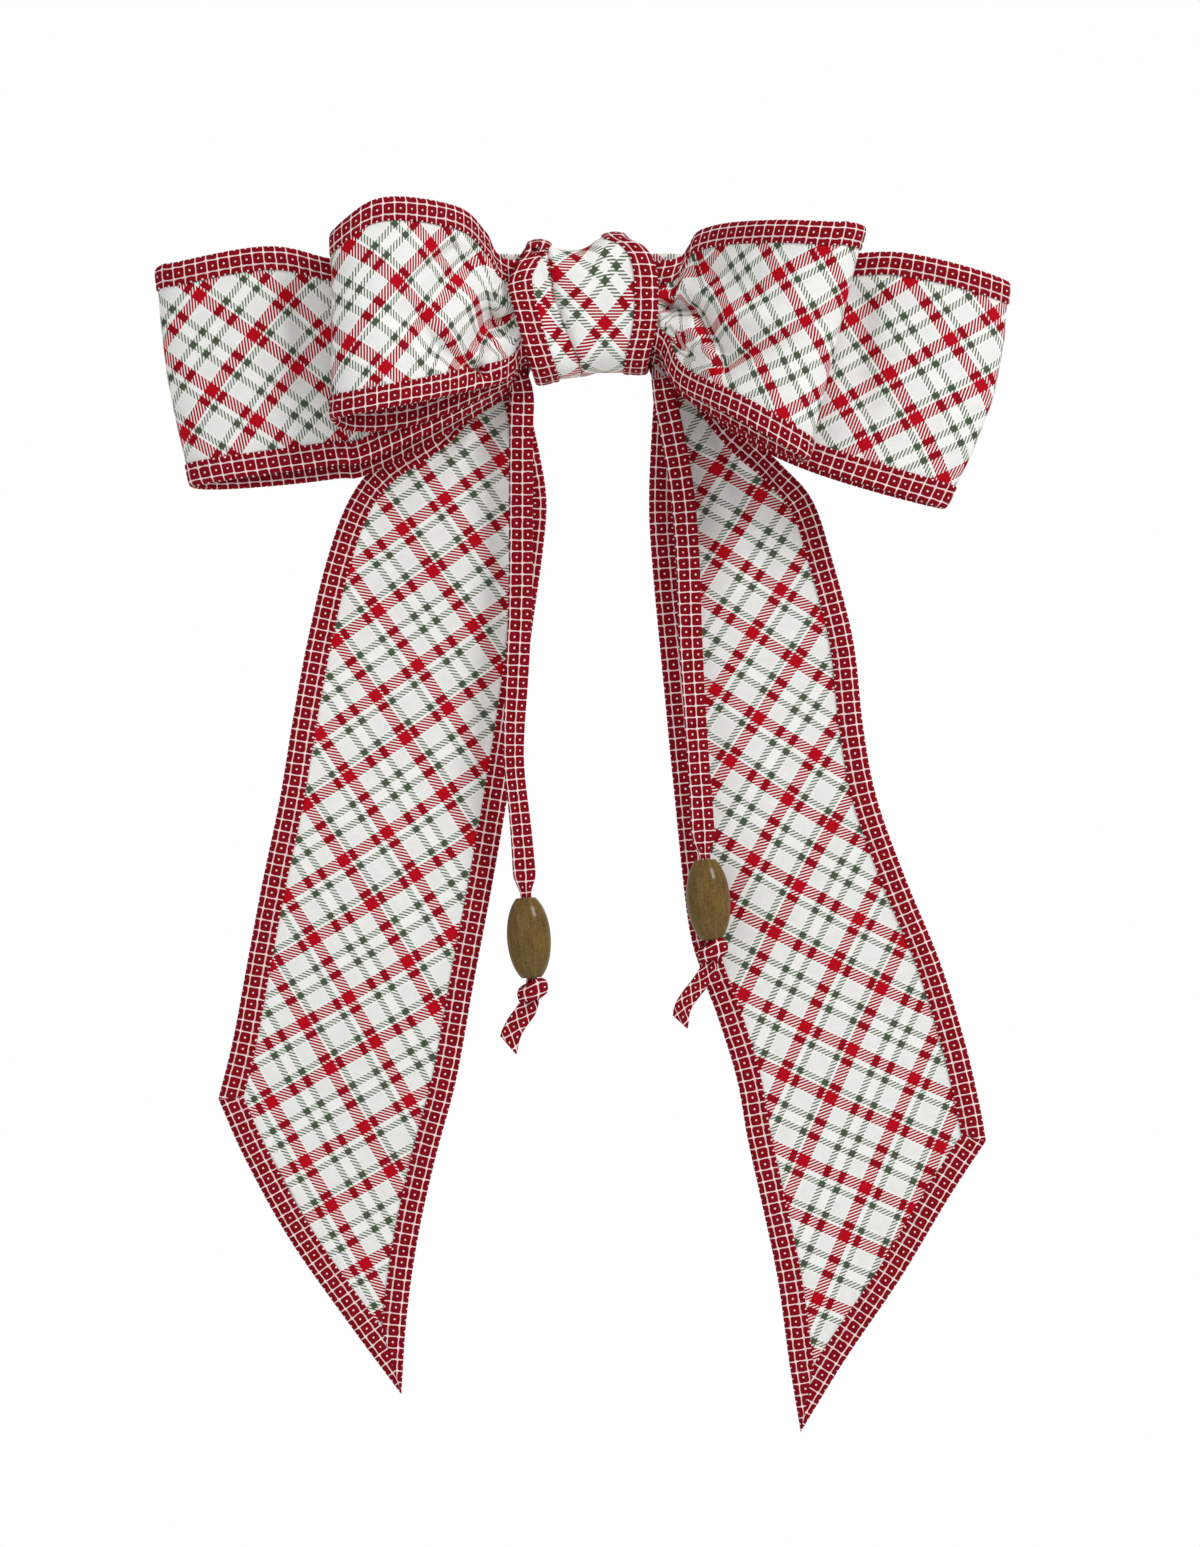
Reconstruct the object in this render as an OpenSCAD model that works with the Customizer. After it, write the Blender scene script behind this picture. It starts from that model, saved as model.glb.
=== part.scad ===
// Hair bow: two pairs of bound plaid loops and two bound tails gathered under a knot wrap,
// two beaded ties, and a French barrette behind the knot.
// +X runs along the barrette, +Z points up and -Y faces the viewer.
// The origin is the middle of the gap that grips the hair.

/* [Cloth] */
// Thickness of a plaid panel, two layers of cotton
cloth_t = 1.2; // [0.8:0.1:1.4]
// Width of the bias binding that shows
binding_w = 6; // [4:0.5:7]
// Height that the binding stands above the cloth on each side
binding_rise = 0.4; // [0.2:0.1:0.4]
// Width of cloth edge hidden at the fold of the binding
binding_lap = 0.6; // [0.4:0.1:1]

/* [Loops] */
// Reach of the outer left loop from the centre
outer_left_reach = 106; // [98:1:110]
// Reach of the outer right loop from the centre
outer_right_reach = 102; // [96:1:108]
// Reach of the inner left loop from the centre
inner_left_reach = 63.8; // [60:0.2:68]
// Reach of the inner right loop from the centre
inner_right_reach = 63; // [60:0.2:68]
// Front to back depth of an outer loop
outer_depth = 15; // [12:0.5:15]
// Front to back depth of an inner loop
inner_depth = 17; // [14:0.5:17]

/* [Knot] */
// Height of the knot wrap
knot_h = 37; // [35:0.5:39]
// Depth of the knot in front of the barrette
knot_front = 28.2; // [28.2:0.1:29]
// Thickness of the wrap
wrap_t = 1.2; // [0.8:0.1:1.2]

/* [Ties] */
// Width of a flat tie
tie_w = 6; // [5:0.5:7]
// Thickness of a flat tie
tie_t = 1.4; // [1:0.1:1.6]
// Diameter of a tie where it is bunched to pass through its bead
tie_bunched_d = 2.8; // [2:0.1:3]

/* [Beads] */
// Length of a bead
bead_l = 20; // [18:0.5:21]
// Largest diameter of a bead
bead_d = 11; // [9:0.5:11]
// Diameter of a bead at its ends
bead_end_d = 5; // [4.8:0.1:6]
// Bore of a bead
bead_bore_d = 3.8; // [3.6:0.1:4.2]

/* [Barrette] */
// Distance between the ends of the barrette base
barrette_l = 76; // [74:1:78]
// Width of the barrette base
barrette_h = 9.4; // [9.4:0.2:11]
// Thickness of the base and the clasp arm
plate_t = 0.8; // [0.6:0.1:0.8]
// Gap that takes the hair
hair_gap = 5.2; // [5:0.1:5.4]
// Radius of the hinge pin
pin_r = 0.8; // [0.7:0.05:0.85]

/* [Hidden] */
$fn = 48;

cream = "#ecebe4";
crimson = "#9e1228";
steel = "#b9bcc0";
olive_wood = "#6e5a35";
thread_red = "#8c1020";

far = 200;                 // longer than the bow in any direction
eps = 0.01;

// Depth of each layer at the knot, from the back to the front
gap = 0.1;                 // room between layers that are sewn together
arm_y = hair_gap / 2;      // front face of the closed clasp arm
bar_y = -hair_gap / 2;     // back face of the tension bar
base_y = -7;               // back face of the base at its middle
band_t = 1.2;              // thickness of the backing band
tail_y = -11.2;            // middle of the tails
tail_fold_y = -11.7;
outer_neck_y = -15.7;
inner_neck_y = -23;
outer_far_y = -23;
inner_far_y = -39.5;
neck_depth = 4.4;          // from the middle of a loop's front layer to that of its back layer
neck_x = 21;               // where a loop leaves the knot

// --- shared functions ---

function reversed(list) = [for (i = [len(list) - 1:-1:0]) list[i]];
function raised(line, d) = [for (p = line) [p.x, p.y + d]];
function mirrored(line) = [for (p = line) [-p.x, p.y]];
function unit(v) = v / norm(v);
function left_of(v) = [-v.y, v.x];

// A counter-clockwise outline moved inwards by d, with sharp corners
function inset(line, d) = [
    for (i = [0:len(line) - 1])
        let (
            p = line[i],
            a = left_of(unit(p - line[(i + len(line) - 1) % len(line)])),
            b = left_of(unit(line[(i + 1) % len(line)] - p))
        )
        p + d * (a + b) / (1 + a * b)
];

// The outline of a strip of thickness t whose middle follows a path
function strip(path, t) =
    let (
        n = len(path) - 1,
        side = [
            for (i = [0:n])
                let (
                    a = left_of(unit(path[max(i, 1)] - path[max(i, 1) - 1])),
                    b = left_of(unit(path[min(i + 1, n)] - path[min(i + 1, n) - 1]))
                )
                (t / 2) * (a + b) / (1 + a * b)
        ]
    )
    concat(
        [for (i = [0:n]) path[i] - side[i]],
        [for (i = [n:-1:0]) path[i] + side[i]]
    );

// Extrudes an outline of x and z along Y, from y_back towards the viewer by depth
module upright(outline, y_back, depth) {
    translate([0, y_back, 0])
        rotate([90, 0, 0])
            linear_extrude(height = depth)
                polygon(outline);
}

// --- loops ---

loop_steps = 12;
swell = 0.65;              // share of its reach where a loop is fullest

// Half of the depth of a loop, at u from 0 at the knot to 1 at its fold
function loop_half(depth, u) =
    let (fullness = pow(sin(90 * min(1, u / swell)), 1.5))
    (neck_depth + (depth - neck_depth) * fullness) / 2 * sqrt(1 - pow(u, 5));

// Middle of the depth of a loop, which bends forwards from y0 to y1
function loop_middle(y0, y1, u) = y0 + (y1 - y0) * sin(90 * u);

// The plan of a loop that opens to the right, grown by d
function loop_plan(reach, y0, y1, depth, d) =
    let (
        steps = [for (i = [0:loop_steps]) sin(90 * i / loop_steps)],
        side = [for (u = steps) [neck_x + (reach + d - neck_x) * u, loop_middle(y0, y1, u)]],
        half = [for (u = steps) loop_half(depth, u) + (u < 1 ? d : 0)]
    )
    concat(
        [[-neck_x, y0 - half[0]]],
        [for (i = [0:loop_steps]) [side[i].x, side[i].y - half[i]]],
        [for (i = [loop_steps - 1:-1:0]) [side[i].x, side[i].y + half[i]]],
        [[-neck_x, y0 + half[0]]]
    );

// A closed band that stands up around the plan; swing tilts its fold in the XZ plane
module loop_wall(reach, y0, y1, depth, swing, grow) {
    translate([reach, 0, 0])
        rotate([0, swing, 0])
            translate([-reach, 0, -far / 2])
                linear_extrude(height = far)
                    difference() {
                        polygon(loop_plan(reach, y0, y1, depth, cloth_t / 2 + grow));
                        polygon(loop_plan(reach, y0, y1, depth, -cloth_t / 2 - grow));
                    }
}

// Cuts by an outline of x and z given at Y = 0, which drops towards the back by the lean angle
module leaning_cut(outline, lean) {
    rotate([90 - lean, 0, 0])
        translate([0, 0, -far / 2])
            linear_extrude(height = far)
                polygon([for (p = outline) [p.x, p.y * cos(lean)]]);
}

// An edge as it stands on the front layer of a loop, carried back to Y = 0 along the lean
function leaned(line, reach, y0, y1, depth, lean) = [
    for (p = line)
        let (
            u = max(0, min(1, (p.x - neck_x) / (reach - neck_x))),
            y = loop_middle(y0, y1, u) - loop_half(depth, u)
        )
        [p.x, p.y + y * tan(lean)]
];

// One part of a loop: the cloth between its edges, or a binding round one edge.
// top and bottom run outwards from the middle of the knot.
module loop_piece(piece, reach, inner, swing, lean, top, bottom) {
    y0 = inner ? inner_neck_y : outer_neck_y;
    y1 = inner ? inner_far_y : outer_far_y;
    depth = inner ? inner_depth : outer_depth;
    upper = leaned(top, reach, y0, y1, depth, lean);
    lower = leaned(bottom, reach, y0, y1, depth, lean);
    cloth = concat(raised(lower, binding_lap), reversed(raised(upper, -binding_lap)));
    edge = piece == "top"
        ? concat(raised(upper, -binding_w), reversed(upper))
        : concat(lower, reversed(raised(lower, binding_w)));
    if (piece == "cloth") {
        intersection() {
            loop_wall(reach, y0, y1, depth, swing, 0);
            leaning_cut(cloth, lean);
        }
    } else {
        difference() {
            intersection() {
                loop_wall(reach, y0, y1, depth, swing, binding_rise);
                leaning_cut(edge, lean);
            }
            intersection() {
                loop_wall(reach, y0, y1, depth, swing, 0);
                leaning_cut(cloth, lean);
            }
        }
    }
}

// Upper and lower edges, outwards from the knot and past the fold
outer_left_top = [[0, 12], [22, 10], [45, 10], [64, 12.5], [82, 15.5], [115, 9]];
outer_left_bottom = [
    [0, -12.5], [16, -13], [21, -21], [53.5, -37.6], [64, -39.4], [90, -42.6], [115, -45.6]
];
outer_right_top = [[0, 12], [22, 10], [50, 12], [68, 14], [80, 13.7], [98, 9.3], [115, 2.4]];
outer_right_bottom = [[0, -12.5], [16, -13], [23, -21], [52, -38.5], [115, -57]];
inner_left_top = [[0, 12.5], [20.5, 12.5], [26, 19.2], [33, 25.2], [50, 27.2], [60, 22.4], [72, 9.8]];
inner_left_bottom = [[0, -12.5], [16, -13], [21, -18.2], [40, -23.2], [62, -27.6], [72, -29.6]];
inner_right_top = [[0, 12], [21, 12.6], [28, 20.2], [44, 21.9], [75, 19.6]];
inner_right_bottom = [[0, -10], [16, -10.5], [22.5, -21], [39.5, -30], [75, -50]];

outer_left_swing = 10;
outer_right_swing = 15.7;
inner_left_swing = 0;
inner_right_swing = 13.8;
outer_left_lean = 12;
outer_right_lean = 3;
inner_left_lean = 18;
inner_right_lean = 6;

module outer_left(piece) {
    mirror([1, 0, 0])
        loop_piece(piece, outer_left_reach, false, outer_left_swing, outer_left_lean,
            outer_left_top, outer_left_bottom);
}

module outer_right(piece) {
    loop_piece(piece, outer_right_reach, false, outer_right_swing, outer_right_lean,
        outer_right_top, outer_right_bottom);
}

module inner_left(piece) {
    mirror([1, 0, 0])
        loop_piece(piece, inner_left_reach, true, inner_left_swing, inner_left_lean,
            inner_left_top, inner_left_bottom);
}

module inner_right(piece) {
    loop_piece(piece, inner_right_reach, true, inner_right_swing, inner_right_lean,
        inner_right_top, inner_right_bottom);
}

module outer_loop_left() { color(cream) outer_left("cloth"); }
module outer_loop_left_binding_top() { color(crimson) outer_left("top"); }
module outer_loop_left_binding_bottom() { color(crimson) outer_left("bottom"); }
module outer_loop_right() { color(cream) outer_right("cloth"); }
module outer_loop_right_binding_top() { color(crimson) outer_right("top"); }
module outer_loop_right_binding_bottom() { color(crimson) outer_right("bottom"); }
module inner_loop_left() { color(cream) inner_left("cloth"); }
module inner_loop_left_binding_top() { color(crimson) inner_left("top"); }
module inner_loop_left_binding_bottom() { color(crimson) inner_left("bottom"); }
module inner_loop_right() { color(cream) inner_right("cloth"); }
module inner_loop_right_binding_top() { color(crimson) inner_right("top"); }
module inner_loop_right_binding_bottom() { color(crimson) inner_right("bottom"); }

// --- tails ---

tail_top_z = -20.5;        // the tails turn about this edge
// Outlines of x and z, counter-clockwise, from above the top inner corner
left_tail_line = [
    [-17.5, -10], [-28, -10], [-32, -20.5], [-38, -28], [-52, -38], [-60.5, -47.5], [-66, -62.5],
    [-70.8, -82.5], [-74.5, -102.5], [-77.8, -122.5], [-82, -142.5], [-85.8, -162.5],
    [-89.5, -182.5], [-93.3, -198], [-86.5, -212.5], [-75.5, -232.5], [-61.5, -252.5],
    [-47.3, -271], [-46, -252.5], [-43.2, -232.5], [-38.8, -212.5], [-33.5, -192.5],
    [-29, -167.5], [-25.2, -147.5], [-20.8, -122.5], [-17.2, -100], [-14.2, -77.5],
    [-11.8, -60], [-10.4, -47.5], [-11.8, -36], [-16, -20.5]
];
right_tail_line = [
    [28, -10], [17, -10], [16, -20.5], [14.8, -45], [15.5, -62.5], [18.8, -97.5], [21, -120],
    [24.5, -152.5], [28, -166], [32.2, -177.5], [36.8, -192.5], [39.5, -207.5],
    [42.8, -222.5], [47, -242.5], [50, -264], [52.8, -280.5], [64.2, -262.5],
    [77.8, -242.5], [89.8, -222.5], [98.7, -209], [97.2, -199], [93.8, -182.5],
    [87.5, -162.5], [79.2, -142.5], [72, -122.5], [68.6, -105], [66, -82.5], [60.8, -62.5],
    [55.8, -47.5], [47, -38.5], [36, -28], [31, -20.5]
];

module below_tail_top() {
    intersection() {
        children();
        translate([-far / 2, -far / 2, tail_top_z - 2 * far])
            cube([far, far, 2 * far]);
    }
}

module tail_cloth(line) {
    below_tail_top()
        upright(inset(line, binding_lap), tail_y + cloth_t / 2, cloth_t);
}

module tail_edging(line) {
    thick = cloth_t + 2 * binding_rise;
    below_tail_top()
        difference() {
            upright(line, tail_y + thick / 2, thick);
            upright(inset(line, binding_w), tail_y + thick, 2 * thick);
            upright(inset(line, binding_lap), tail_y + cloth_t / 2, cloth_t);
        }
}

module tail_left() { color(cream) tail_cloth(left_tail_line); }
module tail_left_binding() { color(crimson) tail_edging(left_tail_line); }
module tail_right() { color(cream) tail_cloth(right_tail_line); }
module tail_right_binding() { color(crimson) tail_edging(right_tail_line); }

// The folded middle of the tail strip, gathered inside the wrap and turned down beside it
module tail_fold() {
    right_half = [[16.9, -11], [17.4, -20], [29, -20], [23, 4], [14, 10]];
    color(cream)
        upright(concat(right_half, reversed(mirrored(right_half))), tail_fold_y + cloth_t / 2, cloth_t);
}

// --- knot ---

band_half_l = 32;
base_sag = 3.6;            // how far the base bows away from the head
half_l = barrette_l / 2;
base_r = (half_l * half_l + base_sag * base_sag) / (2 * base_sag);
bow_y = base_y + base_r;   // centre of the curve that the base and the band share

// A strip bowed about bow_y, from x = -reach to reach, with its back at y in the middle
module bowed(y, reach, t, z_range) {
    sweep = 2 * asin(reach / (bow_y - y));
    translate([0, bow_y, z_range[0]])
        rotate([0, 0, 270 - sweep / 2])
            rotate_extrude(angle = sweep, $fn = 360)
                translate([bow_y - y, 0])
                    square([t, z_range[1] - z_range[0]]);
}

// Follows the curve of the barrette base
module backing_band() {
    color(cream)
        bowed(base_y - plate_t - gap, band_half_l, band_t, [-12, 14.5]);
}

wrap_back_y = base_y - plate_t - band_t - 2 * gap - binding_rise;
wrap_back_h = 24;
// Section of the wrap, as y and z, counter-clockwise from its lower back corner
function wrap_section(d) = inset([
    [wrap_back_y, -wrap_back_h / 2], [wrap_back_y, wrap_back_h / 2],
    [-12.5, knot_h / 2 - 2], [-15.5, knot_h / 2],
    [-22, knot_h / 2], [-25.5, knot_h / 2 - 2], [-knot_front, knot_h / 2 - 6],
    [-knot_front, 6 - knot_h / 2], [-25.5, 2 - knot_h / 2], [-22, -knot_h / 2],
    [-15.5, -knot_h / 2], [-12.5, 2 - knot_h / 2]
], d);

module wrap_ring(inner, outer) {
    rotate([90, 0, 90])
        translate([0, 0, -far / 2])
            linear_extrude(height = far)
                difference() {
                    polygon(wrap_section(outer));
                    polygon(wrap_section(inner));
                }
}

// Side edges of the wrap, from the lower end up
wrap_left = [[-12.5, -25], [-13.8, -18], [-17.7, -5.2], [-20.5, 7], [-17.3, 14.4], [-15, 25]];
wrap_right = [[13.5, -25], [14.7, -15.3], [17, -1.3], [17, 7.3], [15.9, 12.4], [11.5, 17], [9, 25]];

function moved(line, d) = [for (p = line) [p.x + d, p.y]];

module wrap_cloth() {
    intersection() {
        wrap_ring(wrap_t, 0);
        upright(concat(moved(wrap_right, -binding_lap), reversed(moved(wrap_left, binding_lap))), 0, far);
    }
}

module wrap_edging(line, d) {
    difference() {
        intersection() {
            wrap_ring(wrap_t + gap, -binding_rise);
            upright(d > 0
                ? concat(moved(line, d), reversed(line))
                : concat(line, reversed(moved(line, d))), 0, far);
        }
        wrap_cloth();
    }
}

module knot_wrap() { color(cream) wrap_cloth(); }
module knot_wrap_binding_left() { color(crimson) wrap_edging(wrap_left, binding_w); }
module knot_wrap_binding_right() { color(crimson) wrap_edging(wrap_right, -binding_w); }

// --- ties and beads ---

tie_y = -18.5;             // both ties hang in this plane
left_route = [
    [-17, -20.5], [-17.2, -30], [-17.3, -48], [-17.4, -70], [-18.2, -90], [-19, -105],
    [-18.9, -115], [-17.3, -130], [-16, -147], [-14.5, -168]
];
right_route = [
    [18.6, -22.5], [20.4, -30], [23, -45], [24.4, -62], [25.2, -83], [26.5, -105],
    [27.6, -120], [28.75, -137.5], [30.5, -158]
];
left_bead_top = [-16, -147];
left_bead_axis = unit(left_bead_top - left_route[len(left_route) - 1]);
right_bead_top = [28.75, -137.5];
right_bead_axis = unit(right_bead_top - right_route[len(right_route) - 1]);

ring_step = 8;             // spacing of the rings along a tie
tie_sides = 8;
bunched_l = 22;            // length above a bead over which the tie stays bunched

// The point and direction at distance s down a route
function route_length(route, i = 0) =
    i >= len(route) - 1 ? 0 : norm(route[i + 1] - route[i]) + route_length(route, i + 1);
function route_at(route, s, i = 0) =
    let (piece = route[i + 1] - route[i], l = norm(piece))
    i >= len(route) - 2 || s <= l
        ? [route[i] + piece * s / l, piece / l]
        : route_at(route, s - l, i + 1);

// A closed tube along a route: flat at the top, bunched near and inside its bead
module tie_tube(route, bead_top) {
    total = route_length(route);
    rings = ceil(total / ring_step);
    points = [
        for (k = [0:rings])
            let (
                at = route_at(route, total * k / rings),
                across = left_of(at[1]),
                near = at[0].y < bead_top.y + bunched_l,
                half_w = (near ? tie_bunched_d : tie_w) / 2,
                half_t = (near ? tie_bunched_d : tie_t) / 2
            )
            for (j = [0:tie_sides - 1])
                let (
                    a = 360 * (j + 0.5) / tie_sides,
                    w = at[0] + across * half_w * cos(a)
                )
                [w.x, tie_y + half_t * sin(a), w.y]
    ];
    n = tie_sides;
    walls = [
        for (k = [0:rings - 1])
            for (j = [0:n - 1])
                let (a = k * n + j, b = k * n + (j + 1) % n)
                each [[a, b, b + n], [a, b + n, a + n]]
    ];
    start_cap = [for (j = [n - 1:-1:0]) j];
    end_cap = [for (j = [0:n - 1]) rings * n + j];
    polyhedron(points, concat(walls, [start_cap, end_cap]));
}

barrel_steps = 10;
// Half outline of a barrel, standing on z = 0: an ellipse cut flat where it is end_d across
function barrel(length, d, end_d) = [
    for (i = [0:barrel_steps])
        let (u = 2 * i / barrel_steps - 1, end = end_d / d)
        [d / 2 * sqrt(1 - u * u * (1 - end * end)), length * i / barrel_steps]
];

// Stands children at a point of a tie, with their Z along the tie's upward direction
module on_tie(top, up) {
    translate([top.x, tie_y, top.y])
        rotate([0, atan2(up.x, up.y), 0])
            children();
}

module bead(top, up) {
    on_tie(top, up)
        translate([0, 0, -bead_l])
            rotate_extrude()
                polygon(concat(
                    [[bead_bore_d / 2, 0]],
                    barrel(bead_l, bead_d, bead_end_d),
                    [[bead_bore_d / 2, bead_l]]
                ));
}

knot_d = 7.2;
knot_l = 6;
tie_end_l = 15;

// The knot under a bead with the loose end of the tie below it
module tie_stop(route, up, end_angle) {
    foot = route[len(route) - 1];
    on_tie(foot, up)
        translate([0, 0, -knot_l])
            rotate_extrude()
                polygon(concat([[0, 0]], barrel(knot_l, knot_d, 3), [[0, knot_l]]));
    translate([foot.x, tie_y, foot.y - knot_l / 2])
        rotate([0, end_angle, 0])
            upright([[-2.6, 0], [-2.8, -tie_end_l], [3, 5 - tie_end_l], [2.6, 0]], tie_t / 2, tie_t);
}

module tie_left() { color(crimson) tie_tube(left_route, left_bead_top); }
module tie_left_knot() { color(crimson) tie_stop(left_route, left_bead_axis, 24); }
module bead_left() { color(olive_wood) bead(left_bead_top, left_bead_axis); }
module tie_right() { color(crimson) tie_tube(right_route, right_bead_top); }
module tie_right_knot() { color(crimson) tie_stop(right_route, right_bead_axis, 28); }
module bead_right() { color(olive_wood) bead(right_bead_top, right_bead_axis); }

// --- barrette ---

base_end_y = base_y + base_sag;
pin_x = -half_l;
knuckle_r = 1.8;
pin_y = arm_y + plate_t - knuckle_r;
pin_clearance = 0.05;
ear_z = barrette_h / 2 - plate_t;      // inner face of an ear
sew_x = 27;
sew_z = 2.2;
sew_r = 0.8;
rivet_x = 36.2;
rivet_r = 0.8;
catch_x = 36.4;            // middle of the prongs

// A round hole along Y through the bowed base
module base_hole(x, z, r) {
    translate([x, base_y - plate_t - 1, z])
        rotate([-90, 0, 0])
            cylinder(h = 8, r = r);
}

module barrette_base() {
    color(steel) {
        difference() {
            bowed(base_y, half_l, plate_t, [-barrette_h / 2, barrette_h / 2]);
            for (x = [-sew_x, sew_x])
                for (z = [-sew_z, sew_z])
                    base_hole(x, z, sew_r);
            base_hole(rivet_x, 0, rivet_r);
        }
        for (z = [-barrette_h / 2, ear_z])
            translate([0, 0, z])
                difference() {
                    linear_extrude(height = plate_t) {
                        translate([pin_x, pin_y])
                            circle(r = knuckle_r);
                        polygon([
                            [pin_x - knuckle_r, pin_y], [pin_x + 0.3, base_end_y - 0.3],
                            [pin_x + 6, base_end_y - 0.9], [pin_x + knuckle_r, pin_y]
                        ]);
                    }
                    translate([pin_x, pin_y, -1])
                        cylinder(h = plate_t + 2, r = pin_r);
                }
    }
}

module barrette_pin() {
    head = 0.5;
    color(steel)
        translate([pin_x, pin_y, 0]) {
            translate([0, 0, -barrette_h / 2 - head])
                cylinder(h = barrette_h + 2 * head, r = pin_r);
            for (z = [-barrette_h / 2 - head, barrette_h / 2])
                translate([0, 0, z])
                    cylinder(h = head, r = pin_r + 0.5);
        }
}

// A sleeve on the hinge pin between two heights
module knuckle(z0, z1) {
    translate([pin_x, pin_y, z0])
        cylinder(h = z1 - z0, r = knuckle_r);
}

module pin_bore() {
    translate([pin_x, pin_y, -far / 2])
        cylinder(h = far, r = pin_r + pin_clearance);
}

arm_h = 7;
arm_knuckle_z = 2;         // inner face of the arm's knuckles
bar_knuckle_z = 1.8;       // half the height of the bar's knuckle
step_x = 31;               // where the arm steps towards the base
tip_x = 40;
tip_drop = 1.2;
slot_z = 2.2;              // half the width of the slot for the prongs
slot_x = 2;                // half its length

module clasp_arm() {
    path = [
        [pin_x, arm_y + plate_t / 2], [step_x, arm_y + plate_t / 2],
        [step_x + 1.5, arm_y - tip_drop + plate_t / 2], [tip_x, arm_y - tip_drop + plate_t / 2]
    ];
    color(steel)
        difference() {
            union() {
                translate([0, 0, -arm_h / 2])
                    linear_extrude(height = arm_h)
                        polygon(strip(path, plate_t));
                knuckle(arm_knuckle_z, arm_h / 2);
                knuckle(-arm_h / 2, -arm_knuckle_z);
            }
            pin_bore();
            translate([pin_x - 3, -5, -arm_knuckle_z])
                cube([6, 10, 2 * arm_knuckle_z]);
            translate([catch_x - slot_x, 0, -slot_z])
                cube([2 * slot_x, 5, 2 * slot_z]);
        }
}

module tension_bar() {
    t = 0.5;
    bar_h = 5;
    end_x = 32.5;
    mid_y = bar_y - t / 2;
    path = [
        [pin_x + 0.6, pin_y - 1.5], [pin_x + 3.5, mid_y + 0.6], [pin_x + 6, mid_y], [end_x, mid_y]
    ];
    color(steel)
        difference() {
            union() {
                translate([0, 0, -bar_knuckle_z])
                    linear_extrude(height = 2 * bar_knuckle_z)
                        polygon(strip(path, t));
                translate([pin_x + 6, mid_y - t / 2, -bar_h / 2])
                    cube([end_x - pin_x - 6, t, bar_h]);
                knuckle(-bar_knuckle_z, bar_knuckle_z);
            }
            pin_bore();
        }
}

catch_t = 0.5;
catch_y = -2.9;            // face of the catch plate that the prongs slide on

// The rivet, with its front head sunk flush into the catch plate
module rivet() {
    head = 0.5;
    sink = 0.3;
    start = base_end_y - plate_t - 1;
    translate([rivet_x, 0, 0])
        rotate([-90, 0, 0]) {
            translate([0, 0, start])
                cylinder(h = catch_y - start, r = rivet_r);
            translate([0, 0, catch_y - sink])
                cylinder(h = sink, r1 = rivet_r, r2 = rivet_r + sink);
            translate([0, 0, start - sink])
                cylinder(h = sink, r = rivet_r + head);
        }
}

module catch_plate() {
    color(steel)
        difference() {
            translate([catch_x - 2.4, catch_y - catch_t, -3])
                cube([5.6, catch_t, 6]);
            rivet();
        }
}

module catch_rivet() { color(steel) rivet(); }

prong_z = 1.3;             // inner face of a prong
prong_t = 0.6;
prong_half_w = 1.6;
tab_l = 4.2;               // reach of the finger tab
barb_w = 0.2;
barb_h = 0.5;

// A prong with finger tab and barb on the upper side; the lower one is its mirror image
module prong() {
    foot_y = catch_y + 0.05;
    slot_y = arm_y - tip_drop;         // front face of the arm's tip
    left = catch_x - prong_half_w;
    color(steel) {
        translate([left, foot_y, prong_z])
            cube([2 * prong_half_w, arm_y + 0.6 - foot_y, prong_t]);
        translate([catch_x + prong_half_w - gap, foot_y, prong_z])
            cube([tab_l, slot_y - 0.4 - foot_y, prong_t]);
        translate([left, slot_y + plate_t + gap, prong_z + prong_t - eps])
            cube([2 * prong_half_w, barb_h, barb_w + eps]);
    }
}

module catch_prong_upper() { prong(); }
module catch_prong_lower() { mirror([0, 0, 1]) prong(); }

// Thread through the pairs of sewing holes, lying on the back of the base
module barrette_stitches() {
    thread_r = 0.35;
    back = bow_y - sqrt(base_r * base_r - sew_x * sew_x);
    depth = plate_t;
    color(thread_red)
        for (x = [-sew_x, sew_x])
            translate([x, 0, 0]) {
                for (z = [-sew_z, sew_z])
                    translate([0, back - depth, z])
                        rotate([-90, 0, 0])
                            cylinder(h = depth + 2 * thread_r, r = thread_r);
                translate([0, back + thread_r + 0.15, -sew_z])
                    cylinder(h = 2 * sew_z, r = thread_r);
            }
}

outer_loop_left();
outer_loop_left_binding_top();
outer_loop_left_binding_bottom();
outer_loop_right();
outer_loop_right_binding_top();
outer_loop_right_binding_bottom();
inner_loop_left();
inner_loop_left_binding_top();
inner_loop_left_binding_bottom();
inner_loop_right();
inner_loop_right_binding_top();
inner_loop_right_binding_bottom();
tail_left();
tail_left_binding();
tail_right();
tail_right_binding();
tail_fold();
knot_wrap();
knot_wrap_binding_left();
knot_wrap_binding_right();
backing_band();
tie_left();
tie_left_knot();
bead_left();
tie_right();
tie_right_knot();
bead_right();
barrette_base();
barrette_pin();
barrette_stitches();
clasp_arm();
tension_bar();
catch_plate();
catch_rivet();
catch_prong_upper();
catch_prong_lower();
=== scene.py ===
"""Hair bow: bound plaid loops and tails under a knot wrap, beaded ties, a French barrette."""
import math

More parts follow.
